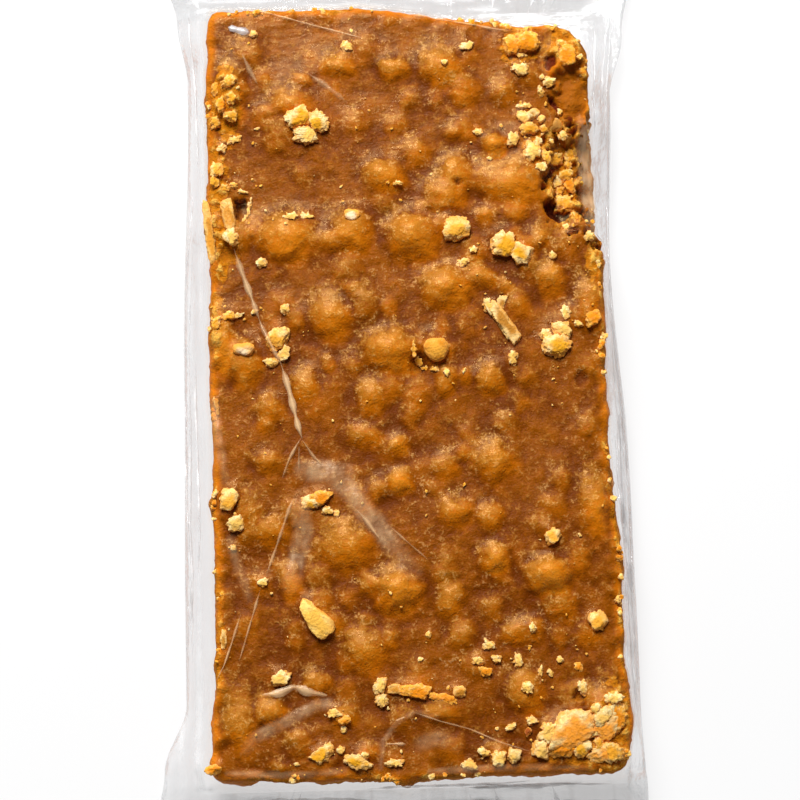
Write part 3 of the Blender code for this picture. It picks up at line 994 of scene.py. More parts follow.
    def lumps_at(self, x: Array, y: Array) -> tuple[Array, Array, Array]:
        """Adds up the lumps.

        Args:
            x: Places across the slab.
            y: Places along the slab.

        Returns:
            How far the glaze is raised; how much amber each lump shows, as a painted glow set towards its near
            side as if light shone through it; and a painted sheen on its far side, towards the lamp.
        """
        top, total, glow, crest = (np.zeros(x.shape) for _ in range(4))
        x = crags(x, y, self.lump_shift_x, x)
        y = crags(x, y, self.lump_shift_y, y)
        for mound in self.mounds:
            across = (x - mound.x) / (self.lump_spread * mound.width)
            along = (y - mound.y) / (self.lump_spread * mound.length)
            # Painted light: the second dome moves the lump's amber glow to its near side, as if light shone
            # through; the third is a painted sheen on its far side, towards the lamp.
            dome, glow_dome, far = (
                np.maximum(1.0 - (across - spot_x) ** 2 - (along - spot_y) ** 2, 0.0)
                for spot_x, spot_y in ((0.0, 0.0), self.painted_glow_spot, self.painted_sheen_spot)
            )
            raised = self.lump_share * mound.rise * dome**self.lump_power
            total += raised
            top = np.maximum(top, raised)
            glow = np.maximum(glow, mound.glow * min(1.0, 0.4 + 0.5 * mound.rise) * glow_dome**self.painted_glow_power)
            crest = np.maximum(crest, min(1.0, mound.rise) * far)
        return top + self.lump_overlap * (total - top), glow, crest

    def hollows_at(self, x: Array, y: Array) -> tuple[Array, ...]:
        """Adds up the hollows.

        Args:
            x: Places across the slab.
            y: Places along the slab.

        Returns:
            How deep, how crumbly, how much painted shade it has in its hollow, and how much a smooth broken
            face each place is.
        """
        found = {name: np.zeros(x.shape) for name in self.hollow_fades}
        ragged = crags(x, y, self.hollow_rim)
        for hollow in HOLLOWS:
            reach = np.hypot(*within(x, y, hollow)) + ragged
            for name, (full, gone) in self.hollow_fades.items():
                faded = getattr(hollow, name) * (1.0 - smooth_step(full, gone, reach))
                found[name] = np.maximum(found[name], faded)
        return tuple(found.values())

    def plain_height(self, x: Array, y: Array) -> Array:
        """Works out the glaze with its lumps and hollows, as the film rests on it.

        Args:
            x: Places across the slab.
            y: Places along the slab.

        Returns:
            The height at each of them.
        """
        height = self.thickness + self.swell_height * crag(x, y, self.swell_length)
        height = height + self.lumps_at(x, y)[0] - self.hollows_at(x, y)[0]
        distance, rounding = self.distance(x, y), self.edge_rounding
        crags_out = self.crag_height * crag(x, y, self.crag_size)
        height = height + crags_out * smooth_step(-self.crag_band, 0, distance)
        into = np.clip(distance + rounding, 0.0, rounding)
        return height - (rounding - np.sqrt(rounding**2 - into**2)) * self.edge_drop

    def broken_edge(self, x: Array, y: Array) -> Array:
        """Works out how crumbly the slab is towards its sides.

        Args:
            x: Places across the slab.
            y: Places along the slab.

        Returns:
            The crumbliness at each of them, from 0 to 1.
        """
        distance = self.distance(x, y) + 1.3 * crag(x, y, 3.5, 3.0)
        patches = smooth_step(-0.28, 0.3, crag(x, y, 11.0, 4.0) + 0.12 * np.sign(x))
        return smooth_step(*self.crumbly_band, distance) * mix(*self.crumbly_share, patches)


@dataclass
class Slab:
    """The candy itself: glaze, peanuts, broken corner and crumbly sides."""

    form: SlabForm
    layout: Layout
    finish: CandyFinish = CandyFinish()
    columns: int = 182
    rows: int = 356
    wall_rings: int = 17
    bottom: float = 0.15
    film_gap: float = 0.12
    pore_depth: float = 0.10
    chunk_height: float = 1.3
    chunk_sink: float = 0.45
    skin: tuple[Layer, ...] = (Layer(0.34, 3.3, 5), Layer(0.14, 1.5, 15))
    wall_crags: tuple[Layer, ...] = (Layer(0.75, 3.4, 0), Layer(0.5, 1.5, 40), Layer(0.28, 0.8, 80))
    wall_lean: float = 0.15
    wall_depth: float = 0.8
    wall_tuck: float = 0.6
    wall_power: float = 1.15
    rise_height: float = 0.5
    rise_rounds: int = 26
    # Painted glow: the slab's rim and walls are coloured amber as if light shone through the candy.
    painted_rim_glow: float = 0.9
    painted_wall_glow: float = 0.95

    @staticmethod
    def graded(share: Array) -> Array:
        """Returns shares from 0 to 1 that lie closer together towards both ends."""
        return share - 0.2 * np.sin(2 * math.pi * share) / (2 * math.pi)

    def outline_points(self, u: Array, v: Array) -> tuple[Array, Array, Array, Array]:
        """Spreads the square sheet over the slab.

        Args:
            u: Shares across the sheet, from 0 to 1.
            v: Shares along the sheet, from 0 to 1.

        Returns:
            The place of each point, and the way out of the outline there.
        """
        form = self.form
        y = mix(form.near_edge, form.far_edge, self.graded(v))
        x = mix(form.left(y), form.right(y), self.graded(u))
        far_share, near_share = form.end_shares(y)
        far_move = (form.far(x) - form.far_edge) * far_share
        near_move = (form.near(x) - form.near_edge) * near_share
        return form.rounded(x, y + far_move + near_move)

    def build(self) -> bpy.types.Object:
        """Builds the slab.

        Returns:
            The finished piece.
        """
        form = self.form
        piece = mesh_object("rapadura_slab", closed_sheet(self.columns, self.rows, self.wall_rings))
        square = read_points(piece.data)
        ring = -square[:, 2]
        x, y, way_x, way_y = self.outline_points(square[:, 0] + 0.5, square[:, 1] + 0.5)
        edge = form.broken_edge(x, y)
        crumbly, pit_shading, face = form.hollows_at(x, y)[1:]
        broken = np.maximum(edge, crumbly)
        top = form.plain_height(x, y) - self.film_gap
        calm = 1.0 - 0.6 * np.minimum(form.lumps_at(x, y)[1], 1.0)
        top += calm * crags(x, y, self.skin)
        top -= self.pore_depth * np.abs(crag(x, y, 1.9, 6.0))
        chunks = np.abs(crag(x, y, 2.1, 9.0)) + 0.5 * np.abs(crag(x, y, 1.1, 10.0))
        top += broken * (self.chunk_height * chunks - self.chunk_sink + 0.35 * crag(x, y, 0.8, 19.0))
        share = ring / self.wall_rings
        z = mix(top, self.bottom, share**self.wall_power)
        points = np.column_stack((x, y, z))
        wall = smooth_step(0.0, 0.16, share)
        ragged = sum(
            layer.share * crag_in_space(points, layer.scale, layer.pattern) for layer in self.wall_crags
        )
        out = self.wall_lean * share + self.wall_depth * ragged * wall
        out = out - self.wall_tuck * smooth_step(0.9, 1.0, share)
        points[:, 0] += way_x * out
        points[:, 1] += way_y * out
        write_points(piece.data, self.layout.metres(points))
        self.keep_masks(piece.data, points, ring, broken, pit_shading)
        keep_values(piece.data, face=face)
        return dress(piece, self.finish.material())

    def keep_masks(
        self, data: bpy.types.Mesh, points: Array, ring: Array, broken: Array, pit_shading: Array
    ) -> None:
        """Stores where the slab has lumps with painted glow and sheen, is broken, has painted shade in a
        hollow, or is raised above what is round it, which sets painted shade in valleys.

        Args:
            data: The slab's mesh.
            points: Its points in millimetres.
            ring: Which ring of the wall each point is on.
            broken: How crumbly each point is.
            pit_shading: How much painted shade each point has in a hollow.
        """
        x, y, z = points.T
        on_top = ring == 0
        height = z[on_top].reshape(self.rows, self.columns)
        # The rise below sets painted shade in the glaze's valleys and lightens raised glaze.
        rise = np.zeros(len(z))
        bulge = (height - blurred(height, self.rise_rounds)) / self.rise_height
        rise[on_top] = np.clip(bulge, -1.0, 1.0).ravel()
        wall = smooth_step(0.0, 3.0, ring)
        wall_crumb = smooth_step(-0.25, 0.25, crag_in_space(points, 4.5, 11.0))
        glow, crest = self.form.lumps_at(x, y)[1:]
        # Painted glow on the rim and walls, as if light shone through the thin candy there.
        glow = np.maximum(glow, self.painted_rim_glow * smooth_step(-2.4, -0.4, self.form.distance(x, y)))
        keep_values(
            data,
            lump=glow * (1.0 - wall) + self.painted_wall_glow * wall,
            crest=crest * (1.0 - wall),
            broken=mix(broken, mix(0.2, 0.95, wall_crumb), wall),
            pit=pit_shading * (1.0 - wall),
            rise=rise,
        )


# ---------------------------------------------------------------- crumbs


class CrumbLook(NamedTuple):
    """One kind of crumb: colours, graininess, height, and how lobed, round, sunk, domed and broken."""

    rim: Colour
    heart: Colour
    grain: float
    height: float
    spread: float = 0.45
    rounding: float = 0.95
    sunk: float = 0.2
    dome: float = 0.75
    breaks: int = 8


class CrumbKind(Enum):
    """The kinds of crumb that lie on the slab."""

    PALE = CrumbLook((1.0, 0.79, 0.36), (0.98, 0.58, 0.12), 1.0, 0.42, 0.48)
    HEARTED = CrumbLook((1.0, 0.77, 0.35), (0.88, 0.40, 0.012), 0.9, 0.40, 0.42)
    MASS = CrumbLook((1.0, 0.74, 0.31), (0.98, 0.36, 0.03), 0.85, 0.26, 0.5)
    GOLDEN = CrumbLook((0.93, 0.57, 0.12), (0.84, 0.36, 0.02), 1.0, 0.45, 0.5)
    YELLOW = CrumbLook((1.0, 0.68, 0.24), (0.97, 0.45, 0.04), 0.7, 0.42, 0.36)
    ORANGE = CrumbLook((0.94, 0.46, 0.055), (0.86, 0.27, 0.004), 0.7, 0.45, 0.45, 0.95, 0.4)
    FLAKE = CrumbLook((0.94, 0.64, 0.24), (0.52, 0.21, 0.02), 0.5, 0.32, 0.3, 0.7)
    SPLINTER = CrumbLook((0.84, 0.47, 0.12), (0.68, 0.27, 0.022), 0.45, 0.5, 0.2, 0.68)
    PEANUT = CrumbLook((1.0, 0.66, 0.17), (1.0, 0.55, 0.08), 0.25, 0.40, 0.42, 0.9, 0.2, 0.6, 7)
    BROWN_NUT = CrumbLook((0.62, 0.33, 0.085), (0.52, 0.23, 0.04), 0.4, 0.6, 0.35)
    # The nut's pale heart is a bare nut tip and partly a painted highlight on the lump's top.
    NUT = CrumbLook((0.80, 0.36, 0.05), (0.95, 0.70, 0.42), 0.12, 0.62, 0.4, 1.0, 0.5, 1.0, 0)
    BALL = CrumbLook((0.68, 0.23, 0.006), (0.80, 0.36, 0.035), 0.25, 0.55, 0.22, 1.0, 0.42, 1.0, 0)
    SKIN = CrumbLook((0.55, 0.14, 0.02), (0.42, 0.09, 0.01), 0.5, 0.5)


class Crumb(NamedTuple):
    """One crumb: its place, its size in millimetres and its turn in degrees."""

    x: float
    y: float
    width: float
    length: float
    turn: float = 0.0


CRUMB_ROWS: dict[CrumbKind, tuple[tuple[float, ...], ...]] = {
    CrumbKind.HEARTED: (
        (-18.6, 49.6, 6, 5, 8), (-15.4, 49, 5.2, 4.4, -20), (18, 25, 5.2, 5.3), (21, 23.5, 4.4, 4.9, -15),
        (27, 6, 5.8, 5.2), (28.7, -65.6, 3.6, 3.4), (-17.2, -65.3, 5.7, 3.4, 32),
        (-10.6, -66.6, 5.5, 2.9, -15), (-18.3, -21, 3.6, 3),
    ),
    CrumbKind.PALE: (
        (-17.3, 46.6, 5.2, 4), (27, -60.6, 6.4, 3.6, 34), (23, -62.4, 5.2, 3.6, 40),
        (21.4, -65.4, 3.8, 3.8), (32.4, -60, 4, 4.6), (31, -62.6, 2.6, 2.6), (12.4, 62.6, 3.4, 1.9, 20),
        (-9.7, 63.2, 2.5, 2.3), (8.2, 59.1, 1.6, 1.5), (-26.9, 66.1, 1.8, 1.6), (22.8, 51, 3.8, 1.4),
        (22.4, 48.9, 4, 2.6), (25.7, 48.7, 1.9, 1.9), (20.3, 45, 2.8, 3.4), (24.8, 44.2, 2, 2.4),
        (24, 42.4, 3.9, 4.7, -15), (25.2, 39.4, 2.2, 2), (29.5, 45.4, 2, 2, 30), (28.3, 37.2, 2.4, 2.9, 20),
        (22, 60.8, 2, 1.4), (21.9, 57.9, 3.8, 2.6), (25.6, 53.8, 1.8, 2.4), (27.4, 44.4, 1.4, 1.2),
        (27.3, 55.4, 2.5, 2.6), (26, 56.4, 1.3, 1.4), (29.2, 50.2, 1.2, 1.6), (33, 60, 1.4, 1.4),
        (13.9, 46.3, 2.3, 1.5), (15.7, 41.2, 1.4, 0.9), (29.3, 45.3, 1.8, 1.6), (-1.1, 37, 2.4, 1.1),
        (-26.5, 48, 1.3, 0.9), (-30.7, 46.2, 3, 1.6, 20), (-33.2, 44.6, 2.6, 1.8, 10),
        (-20.6, 31.3, 3.6, 1.6), (-17.4, 31.3, 3.2, 1.4), (-22.4, 6.4, 2.4, 3.4, -20),
        (-26.1, 23, 2.4, 2.1), (12.5, 24.2, 1.7, 1.9), (10.6, 22.2, 3, 1.9, 25), (18.9, 4.4, 2.3, 3.4),
        (28.7, 12.4, 2, 3.2, -10), (28, 9.4, 4.4, 3.4, -20), (24.9, 8.6, 2.6, 2, 30), (30.8, 10.2, 2, 1.4),
        (26.8, 22.9, 1.7, 1.6), (-22.1, 14.4, 2.2, 2.3), (-24.7, 4.6, 2.9, 2.6),
        (-31.4, -24.4, 4.2, 3.4, 15), (-31.9, -28.6, 1.6, 1.4), (-15, -22.4, 2.4, 1.8),
        (-13.3, -22.9, 1.5, 1.6), (-26.7, -35.1, 2.5, 1.9), (-24.2, -52.1, 4.2, 3.4),
        (-6.4, -53.6, 2.9, 3.4, 5), (-6.2, -56.2, 2.6, 2.8), (2.3, -44.9, 1.3, 1.6), (0.9, -49.2, 1.3, 1),
        (13, -46.9, 2.7, 1.9), (10.9, -49.7, 2.3, 2), (14.3, -49.6, 2.1, 1.9), (18, -49.8, 1.9, 3.1, 15),
        (20.9, -44.1, 1.5, 2.2, 10), (25.5, -49.8, 1.6, 1.5), (21.9, -51.8, 1.1, 2, -10),
        (23.8, -52.1, 1.4, 2.2, 20), (19.3, -54.6, 2.6, 2.5), (29.2, -54.8, 2.1, 3.4, 10),
        (16.3, -61.5, 2.4, 1.6, 20), (14, -61.6, 1.1, 0.8), (20, -60.4, 2.6, 2), (22.6, -61.8, 2.6, 2.2),
        (34.6, -56.9, 4, 2.4), (14.2, -66.8, 3, 3.2), (16.6, -66.4, 3.2, 3, -30), (11.6, -65.6, 2.9, 2),
        (9, -67.7, 3.4, 2.3), (-14.6, -58.2, 3.2, 2.2), (-13.1, -61.1, 1.4, 1.4), (-13.6, -64.6, 1.8, 1.8),
        (-9.3, -65.6, 1.7, 1.4), (-4.1, -67.2, 4.2, 1.7), (-21.4, -66.9, 1.5, 0.8), (31, 27.4, 4, 1.9, -14),
        (33.6, 26.4, 2.6, 2.2), (29.6, 28.4, 2.2, 1.5, -20), (-28.2, 33.4, 0.9, 4, -12),
        (-29.4, 36.4, 2.4, 1, -10), (-31.4, 27.4, 3, 4.2, 12), (-29.2, 31.2, 1.6, 2.6, -30),
        (-31, 13.4, 3.4, 1.4, 12), (-27.6, 14, 1.6, 1.2), (31.2, -58.6, 2.4, 2.6), (7, 1.8, 1.4, 1.8),
        (14.8, 14.2, 2.1, 4.2, 22),
    ),
    CrumbKind.MASS: ((26.6, -62.8, 10.6, 8.2, 24), (33.2, -61.6, 6.4, 8.4, -12), (32.6, -66.2, 7, 4)),
    CrumbKind.YELLOW: (
        (9.4, 28.3, 5.6, 5.2, 30), (-23.6, 9, 4.2, 5.2, -25), (-32.6, -20, 4, 4.4), (-34, 40.6, 2.6, 3),
        (32.4, -43.4, 3.8, 4.4), (25, -28.1, 3.3, 3.6),
    ),
    CrumbKind.ORANGE: (
        (23.2, 63, 5.4, 4.6), (20.4, 62.6, 3.4, 4.4), (30.8, 60.6, 4.4, 4.6), (30.6, 36.8, 2.4, 3.4),
        (25.4, -65, 6.4, 4, 12), (29.3, -61.8, 4.2, 3.8), (12.3, -51.6, 3.2, 2.2), (0.2, -54.8, 8.2, 3, -6),
        (4.6, -56, 6, 2.2, -14), (-33, 52.6, 2.2, 3.4), (-16.2, -20, 5.2, 3.4), (35, -60.4, 3.8, 6.4),
        (-36, -67.4, 3.6, 2.4), (33.6, 11.2, 3.2, 3.6), (-12.8, -59.6, 2.6, 2.2), (28.8, -51.2, 2.2, 2),
    ),
    CrumbKind.GOLDEN: (
        (1.1, 6.4, 1, 3.4, 10), (1.9, 4.4, 1.3, 2.6, 32), (3.2, 3, 2.6, 1.3, -24), (4.8, 2.6, 1.8, 1.1),
        (23.2, 46.8, 4, 2.8), (29.9, 38.6, 3, 3), (29.6, 33.4, 3.8, 4), (28, 41.8, 4.2, 3),
        (30.8, 42.6, 2.4, 3.2), (31.4, 30.4, 2.2, 3), (26.4, 41.2, 2.6, 3.4), (28.8, 35.8, 2, 2),
        (30.4, 40.6, 1.8, 2), (26, 46.6, 1.8, 1.6), (34, -66, 4.8, 3.4), (31.8, -64.6, 2.4, 2.6),
        (-31, 50.4, 3.2, 2.6, 20), (-31.6, 56.6, 3, 2.6), (-34.2, 49.4, 2, 2.6), (-34, 56, 1.8, 3),
        (-31, 53.6, 2, 2.6), (-34.4, 38.2, 2.2, 3), (-32.6, 37, 2, 1.8), (-31, 37.6, 1.8, 1.4),
        (-34.6, 12, 2, 3), (-32.4, 13.2, 3, 2), (29.6, 62.6, 2.4, 1.8), (33.6, 57.8, 1.6, 2.6),
    ),
    CrumbKind.FLAKE: (
        (17.6, 10.8, 2.8, 9.4, 33), (17.3, 14.6, 1.9, 2.8, -15), (-33.9, -44.8, 1.4, 3.8),
        (23.6, 49.2, 4, 2, 30),
    ),
    CrumbKind.SPLINTER: (
        (-35.5, 29, 1.7, 12, 6), (-32, 32, 2.4, 6.6, 10), (-34.6, -2.8, 0.9, 4.6, 5), (-3.8, -54.3, 2.6, 2),
        (7.6, -55, 2.4, 2.2),
    ),
    CrumbKind.PEANUT: ((-17.8, -41.2, 4.6, 8.8, 36), (-22.3, 9.8, 2.2, 3.4, -30)),
    CrumbKind.BROWN_NUT: ((28.1, 47.6, 3.6, 4, 25),),
    CrumbKind.NUT: ((-29.6, 6.8, 4.2, 2.8), (-9.8, 31, 3.8, 2.6)),
    CrumbKind.BALL: ((5.1, 6.3, 4.8, 4.8),),
    CrumbKind.SKIN: ((19.4, -62.2, 1.3, 2.5, -15),),
}
CRUMBS = {kind: tuple(Crumb(*row) for row in rows) for kind, rows in CRUMB_ROWS.items()}


@dataclass
class Crumbs:
    """Crumbs, flakes and bare bits of peanut on the slab, and the grains strewn between them."""

    form: SlabForm
    layout: Layout
    finish: CrumbFinish = CrumbFinish()
    granule: float = 0.55
    granule_depth: float = 0.65
    jag: float = 0.40
    # Painted shade: the crumbs' low and steeper sides turn a darker orange, as if shaded and lit through.
    painted_side_shade: Colour = (0.90, 0.40, 0.055)
    steep_shade_share: float = 0.6
    low_shade_share: float = 0.85
    coarse: float = 1.6
    fine: float = 0.8
    jag_size: float = 0.6
    lobes: int = 7
    lobe_lift: tuple[float, float] = (-0.15, 0.2)
    lobe_radius: tuple[float, float] = (0.42, 0.68)
    least_reach: float = 0.55
    break_sway: float = 0.4
    break_tilt: tuple[float, float] = (-0.2, 1.1)
    break_distance: tuple[float, float] = (0.42, 0.9)
    edge_bits: int = 110
    edge_band: tuple[float, float] = (-2.6, -0.25)
    least_crumbly: float = 0.45
    orange_share: float = 0.55
    grains: int = 300
    clustered_share: float = 0.62
    cluster_spread: float = 2.6
    pale_share: float = 0.35

    @staticmethod
    def fineness(crumb: Crumb) -> int:
        """Returns how often a crumb's sphere is divided, by its size."""
        size = max(crumb.width, crumb.length)
        return 2 if size < 1.1 else 3 if size < 2.0 else 4 if size < 5.0 else 5

    def reach(self, way: Vector, lobes: list[Sized], breaks: list[Sized]) -> float:
        """Works out how far a crumb reaches in one direction.

        Args:
            way: The direction.
            lobes: The middle and the radius of its round lobes.
            breaks: The direction and the distance of the flat breaks that end it.

        Returns:
            The distance from its middle.
        """
        reach = self.least_reach
        for centre, radius in lobes:
            ahead = way.dot(centre)
            inside = radius**2 - centre.length_squared + ahead**2
            if inside > 0.0:
                reach = max(reach, ahead + math.sqrt(inside))
        for normal, distance in breaks:
            ahead = way.dot(normal)
            if ahead > 0.0:
                reach = min(reach, distance / ahead)
        return reach

    def add(
        self, mesh: bmesh.types.BMesh, crumb: Crumb, look: CrumbLook, number: int, base: float
    ) -> list[tuple]:
        """Adds one craggy crumb to the mesh.

        Args:
            mesh: The mesh that it joins.
            crumb: Its place and size.
            look: Its colours, graininess and height.
            number: Its number, which sets its shape.
            base: The height of what it lies on.

        Returns:
            The colour of each of its points, with its graininess as the fourth number.
        """
        draw = random.Random(number).uniform
        made = bmesh.ops.create_icosphere(mesh, subdivisions=self.fineness(crumb), radius=1.0)["verts"]
        far = look.spread
        lobes = [
            (Vector((draw(-far, far), draw(-far, far), draw(*self.lobe_lift))), draw(*self.lobe_radius))
            for _ in range(self.lobes)
        ]
        breaks = []
        for step in range(look.breaks):
            angle = (step + draw(-self.break_sway, self.break_sway)) * 2 * math.pi / look.breaks
            normal = Vector((math.cos(angle), math.sin(angle), draw(*self.break_tilt))).normalized()
            breaks.append((normal, draw(*self.break_distance)))
        height = look.height * min(crumb.width, crumb.length)
        turn = Matrix.Rotation(math.radians(crumb.turn), 3, "Z")
        half = (crumb.width / 2, crumb.length / 2, height / 2)
        middle = Vector((crumb.x, crumb.y, base + height * (0.5 - look.sunk)))
        shift = Vector((number * 7.3, number * 3.1, 0.0))
        small = min(1.0, max(crumb.width, crumb.length) / 3.0)
        ways = [vert.co.normalized() for vert in made]
        spots = [way * self.reach(way, lobes, breaks) for way in ways]
        peaks = [max(abs(spot[axis]) for spot in spots) for axis in range(3)]
        powers = (look.rounding, look.rounding, look.dome)
        colours = []
        for vert, way, spot in zip(made, ways, spots):
            unit = [
                math.copysign(abs(part / peak) ** power, part)
                for part, peak, power in zip(spot, peaks, powers)
            ]
            out = Vector([part * reach for part, reach in zip(unit, half)])
            coarse = noise.voronoi(out / (self.granule * self.coarse * small) + shift)[0][0]
            fine = noise.voronoi(out / (self.granule * self.fine * small) - shift)[0][0]
            off_middle = math.hypot(unit[0] - 0.08, unit[1] + 0.18) + 0.5 * noise.noise(out / 1.3 - shift)
            inner = float(smooth_step(0.95, 0.35, off_middle))
            rough = ((0.42 - coarse) * 0.8 + (0.4 - fine) * 0.8) * self.granule_depth * small * look.grain
            jag = noise.noise(out / (self.jag_size * small) + shift) * self.jag * small**1.5 * look.grain
            flat = Vector((way.x, way.y, way.z * 0.5))
            jagged = Vector((way.x, way.y, 0.0)) * jag
            vert.co = middle + turn @ (out + flat * rough * (1.0 - 0.5 * inner) + jagged)
            shade = 1.0 - 0.22 * float(smooth_step(0.42, 0.75, coarse)) * look.grain * (1.0 - 0.6 * inner)
            # Painted shade: low sides take the side colour.
            low = self.low_shade_share * float(smooth_step(0.75, 0.05, unit[2]))
            parts = zip(look.rim, look.heart, self.painted_side_shade)
            tint = [mix(shade * mix(rim, heart, inner), painted_side_shade, low) for rim, heart, painted_side_shade in parts]
            colours.append((*tint, look.grain * (1.0 - 0.85 * inner)))
        return colours

    def joined(self, name: str, pieces: list[tuple[Crumb, CrumbLook]], first: int) -> bpy.types.Object:
        """Makes one piece of many crumbs.

        Args:
            name: The piece's name.
            pieces: The crumbs and their looks.
            first: The first crumb's number.

        Returns:
            The finished piece.
        """
        mesh = bmesh.new()
        kept: list[tuple] = []
        bases = self.form.plain_height(*np.array([(crumb.x, crumb.y) for crumb, _ in pieces]).T)
        for number, ((crumb, look), base) in enumerate(zip(pieces, bases.tolist())):
            kept += self.add(mesh, crumb, look, first + number, base)
        mesh.normal_update()
        upright = np.array([vert.normal.z for vert in mesh.verts])
        # Painted shade: steeper sides take the side colour too.
        steep_shade = (self.steep_shade_share * smooth_step(0.8, 0.1, upright))[:, None]
        colours = np.array(kept)
        colours[:, :3] = mix(colours[:, :3], np.array(self.painted_side_shade), steep_shade)
        piece = mesh_object(name, mesh)
        write_points(piece.data, self.layout.metres(read_points(piece.data)))
        keep_colour(piece.data, "tint", colours)
        return dress(piece, self.finish.material())

    def edge_pieces(self) -> list[tuple[Crumb, CrumbLook]]:
        """Spreads bits along the slab's crumbly sides by chance.

        Returns:
            The bits and their looks.
        """
        chance = random.Random(SEED + 1)
        form = self.form
        found = []
        while len(found) < self.edge_bits:
            x = chance.uniform(form.left_edge - 1, form.right_edge + 2)
            y = chance.uniform(form.near_edge - 1, form.far_edge)
            if not self.edge_band[0] < at_one(form.distance, x, y) < self.edge_band[1]:
                continue
            if at_one(form.broken_edge, x, y) < self.least_crumbly:
                continue
            width = chance.uniform(0.6, 1.4)
            kind = CrumbKind.ORANGE if chance.random() < self.orange_share else CrumbKind.PALE
            crumb = Crumb(x, y, width, width * chance.uniform(0.8, 1.6), chance.uniform(0, 180))
            found.append((crumb, kind.value))
        return found

    def loose_grains(self) -> list[tuple[Crumb, CrumbLook]]:
        """Spreads fine grains by chance, most of them near the larger crumbs.

        Returns:
            The grains and their looks.
        """
        chance = random.Random(SEED + 2)
        large = [crumb for group in CRUMBS.values() for crumb in group]
        found = []
        while len(found) < self.grains:
            if chance.random() < self.clustered_share:
                near = chance.choice(large)
                x, y = (middle + chance.gauss(0, self.cluster_spread) for middle in (near.x, near.y))
            else:
                x = chance.uniform(self.form.left_edge, self.form.right_edge)
                y = chance.uniform(self.form.near_edge, self.form.far_edge)
            if at_one(self.form.distance, x, y) > -0.3:
                continue
            width = 0.22 + 0.5 * chance.random() ** 2.2
            crumb = Crumb(x, y, width, width * chance.uniform(0.8, 1.8), chance.uniform(0, 180))
            kind = CrumbKind.PALE if chance.random() < self.pale_share else CrumbKind.GOLDEN
            found.append((crumb, kind.value))
        return found

    def cover(self, x: Array, y: Array) -> Array:
        """Works out how far the larger crumbs lift the film off the glaze.

        Args:
            x: Places across the slab.
            y: Places along the slab.

        Returns:
            The rise at each of them.
        """
        raised = np.zeros(x.shape)
        for kind, group in CRUMBS.items():
            for crumb in group:
                height = kind.value.height * min(crumb.width, crumb.length) * (1.0 - kind.value.sunk)
                across, along = within(x, y, crumb)
                dome = np.sqrt(np.clip(1.25 - (across**2 + along**2), 0.0, 1.0))
                raised = np.maximum(raised, height * dome)
        return raised

    def build(self) -> list[bpy.types.Object]:
        """Builds the crumbs, the bits along the sides and the grains.

        Returns:
            One piece for each kind of crumb, then the bits and the grains.
        """
        made = [
            self.joined(f"crumbs_{kind.name.lower()}", [(crumb, kind.value) for crumb in group], 100 * number)
            for number, (kind, group) in enumerate(CRUMBS.items(), 1)
        ]
        made.append(self.joined("edge_bits", self.edge_pieces(), 2000))
        made.append(self.joined("grains", self.loose_grains(), 3000))
        return made


# ---------------------------------------------------------------- the film


class Crease(NamedTuple):
    """A crease pressed into the film: its path, its width in millimetres and how white it is."""

    path: Path
    width: float
    white: float
    rise: float = 0.25
    free: float = 0.0


BANDS = tuple(Crease(*row) for row in (
    (((33.6, 47), (33.9, 38), (34.4, 28)), 2.6, 0.46, 0),
    (((-33.6, -68.2), (-24, -68.9), (-13, -68.3)), 1, 0.3, 0.2),
    (((2, -68.8), (14, -68.4), (30, -68.9)), 0.9, 0.26, 0.2),
    (((-6.6, -68), (-6.2, -63.6), (-3.8, -60.2), (-0.6, -58.4), (3.6, -59.2)), 0.8, 0.18, 0.2),
    (((-13.9, -16.6), (-11.1, -18.7), (-8.8, -22.3),
      (-6.4, -24.8), (-3.3, -29.3), (-0.2, -33.7)), 3.4, 0.25, 0.5),
    (((-19.9, -21.8), (-19.3, -25.6), (-20.4, -30.3), (-21.9, -35.3)), 3.2, 0.2, 0.3),
    (((-18.9, -15), (-15.3, -15.5), (-11.7, -15.8)), 3.6, 0.3, 0.4),
    (((-15.8, -56.5), (-18, -56.9), (-20.8, -58.4),
      (-24.5, -60.2), (-28.8, -62.2), (-30, -64.1)), 1.9, 0.24, 0.4),
    (((0.4, -64), (3.4, -62.9), (6.5, -64.2)), 2.6, 0.14, 0.2),
    (((-35.2, -2), (-34.4, -9.2), (-33.2, -16.5)), 1.6, 0.2, 0.3),
    (((-32.5, -27.2), (-31.1, -32.5), (-29.1, -37.9)), 1.6, 0.16, 0.3),
))

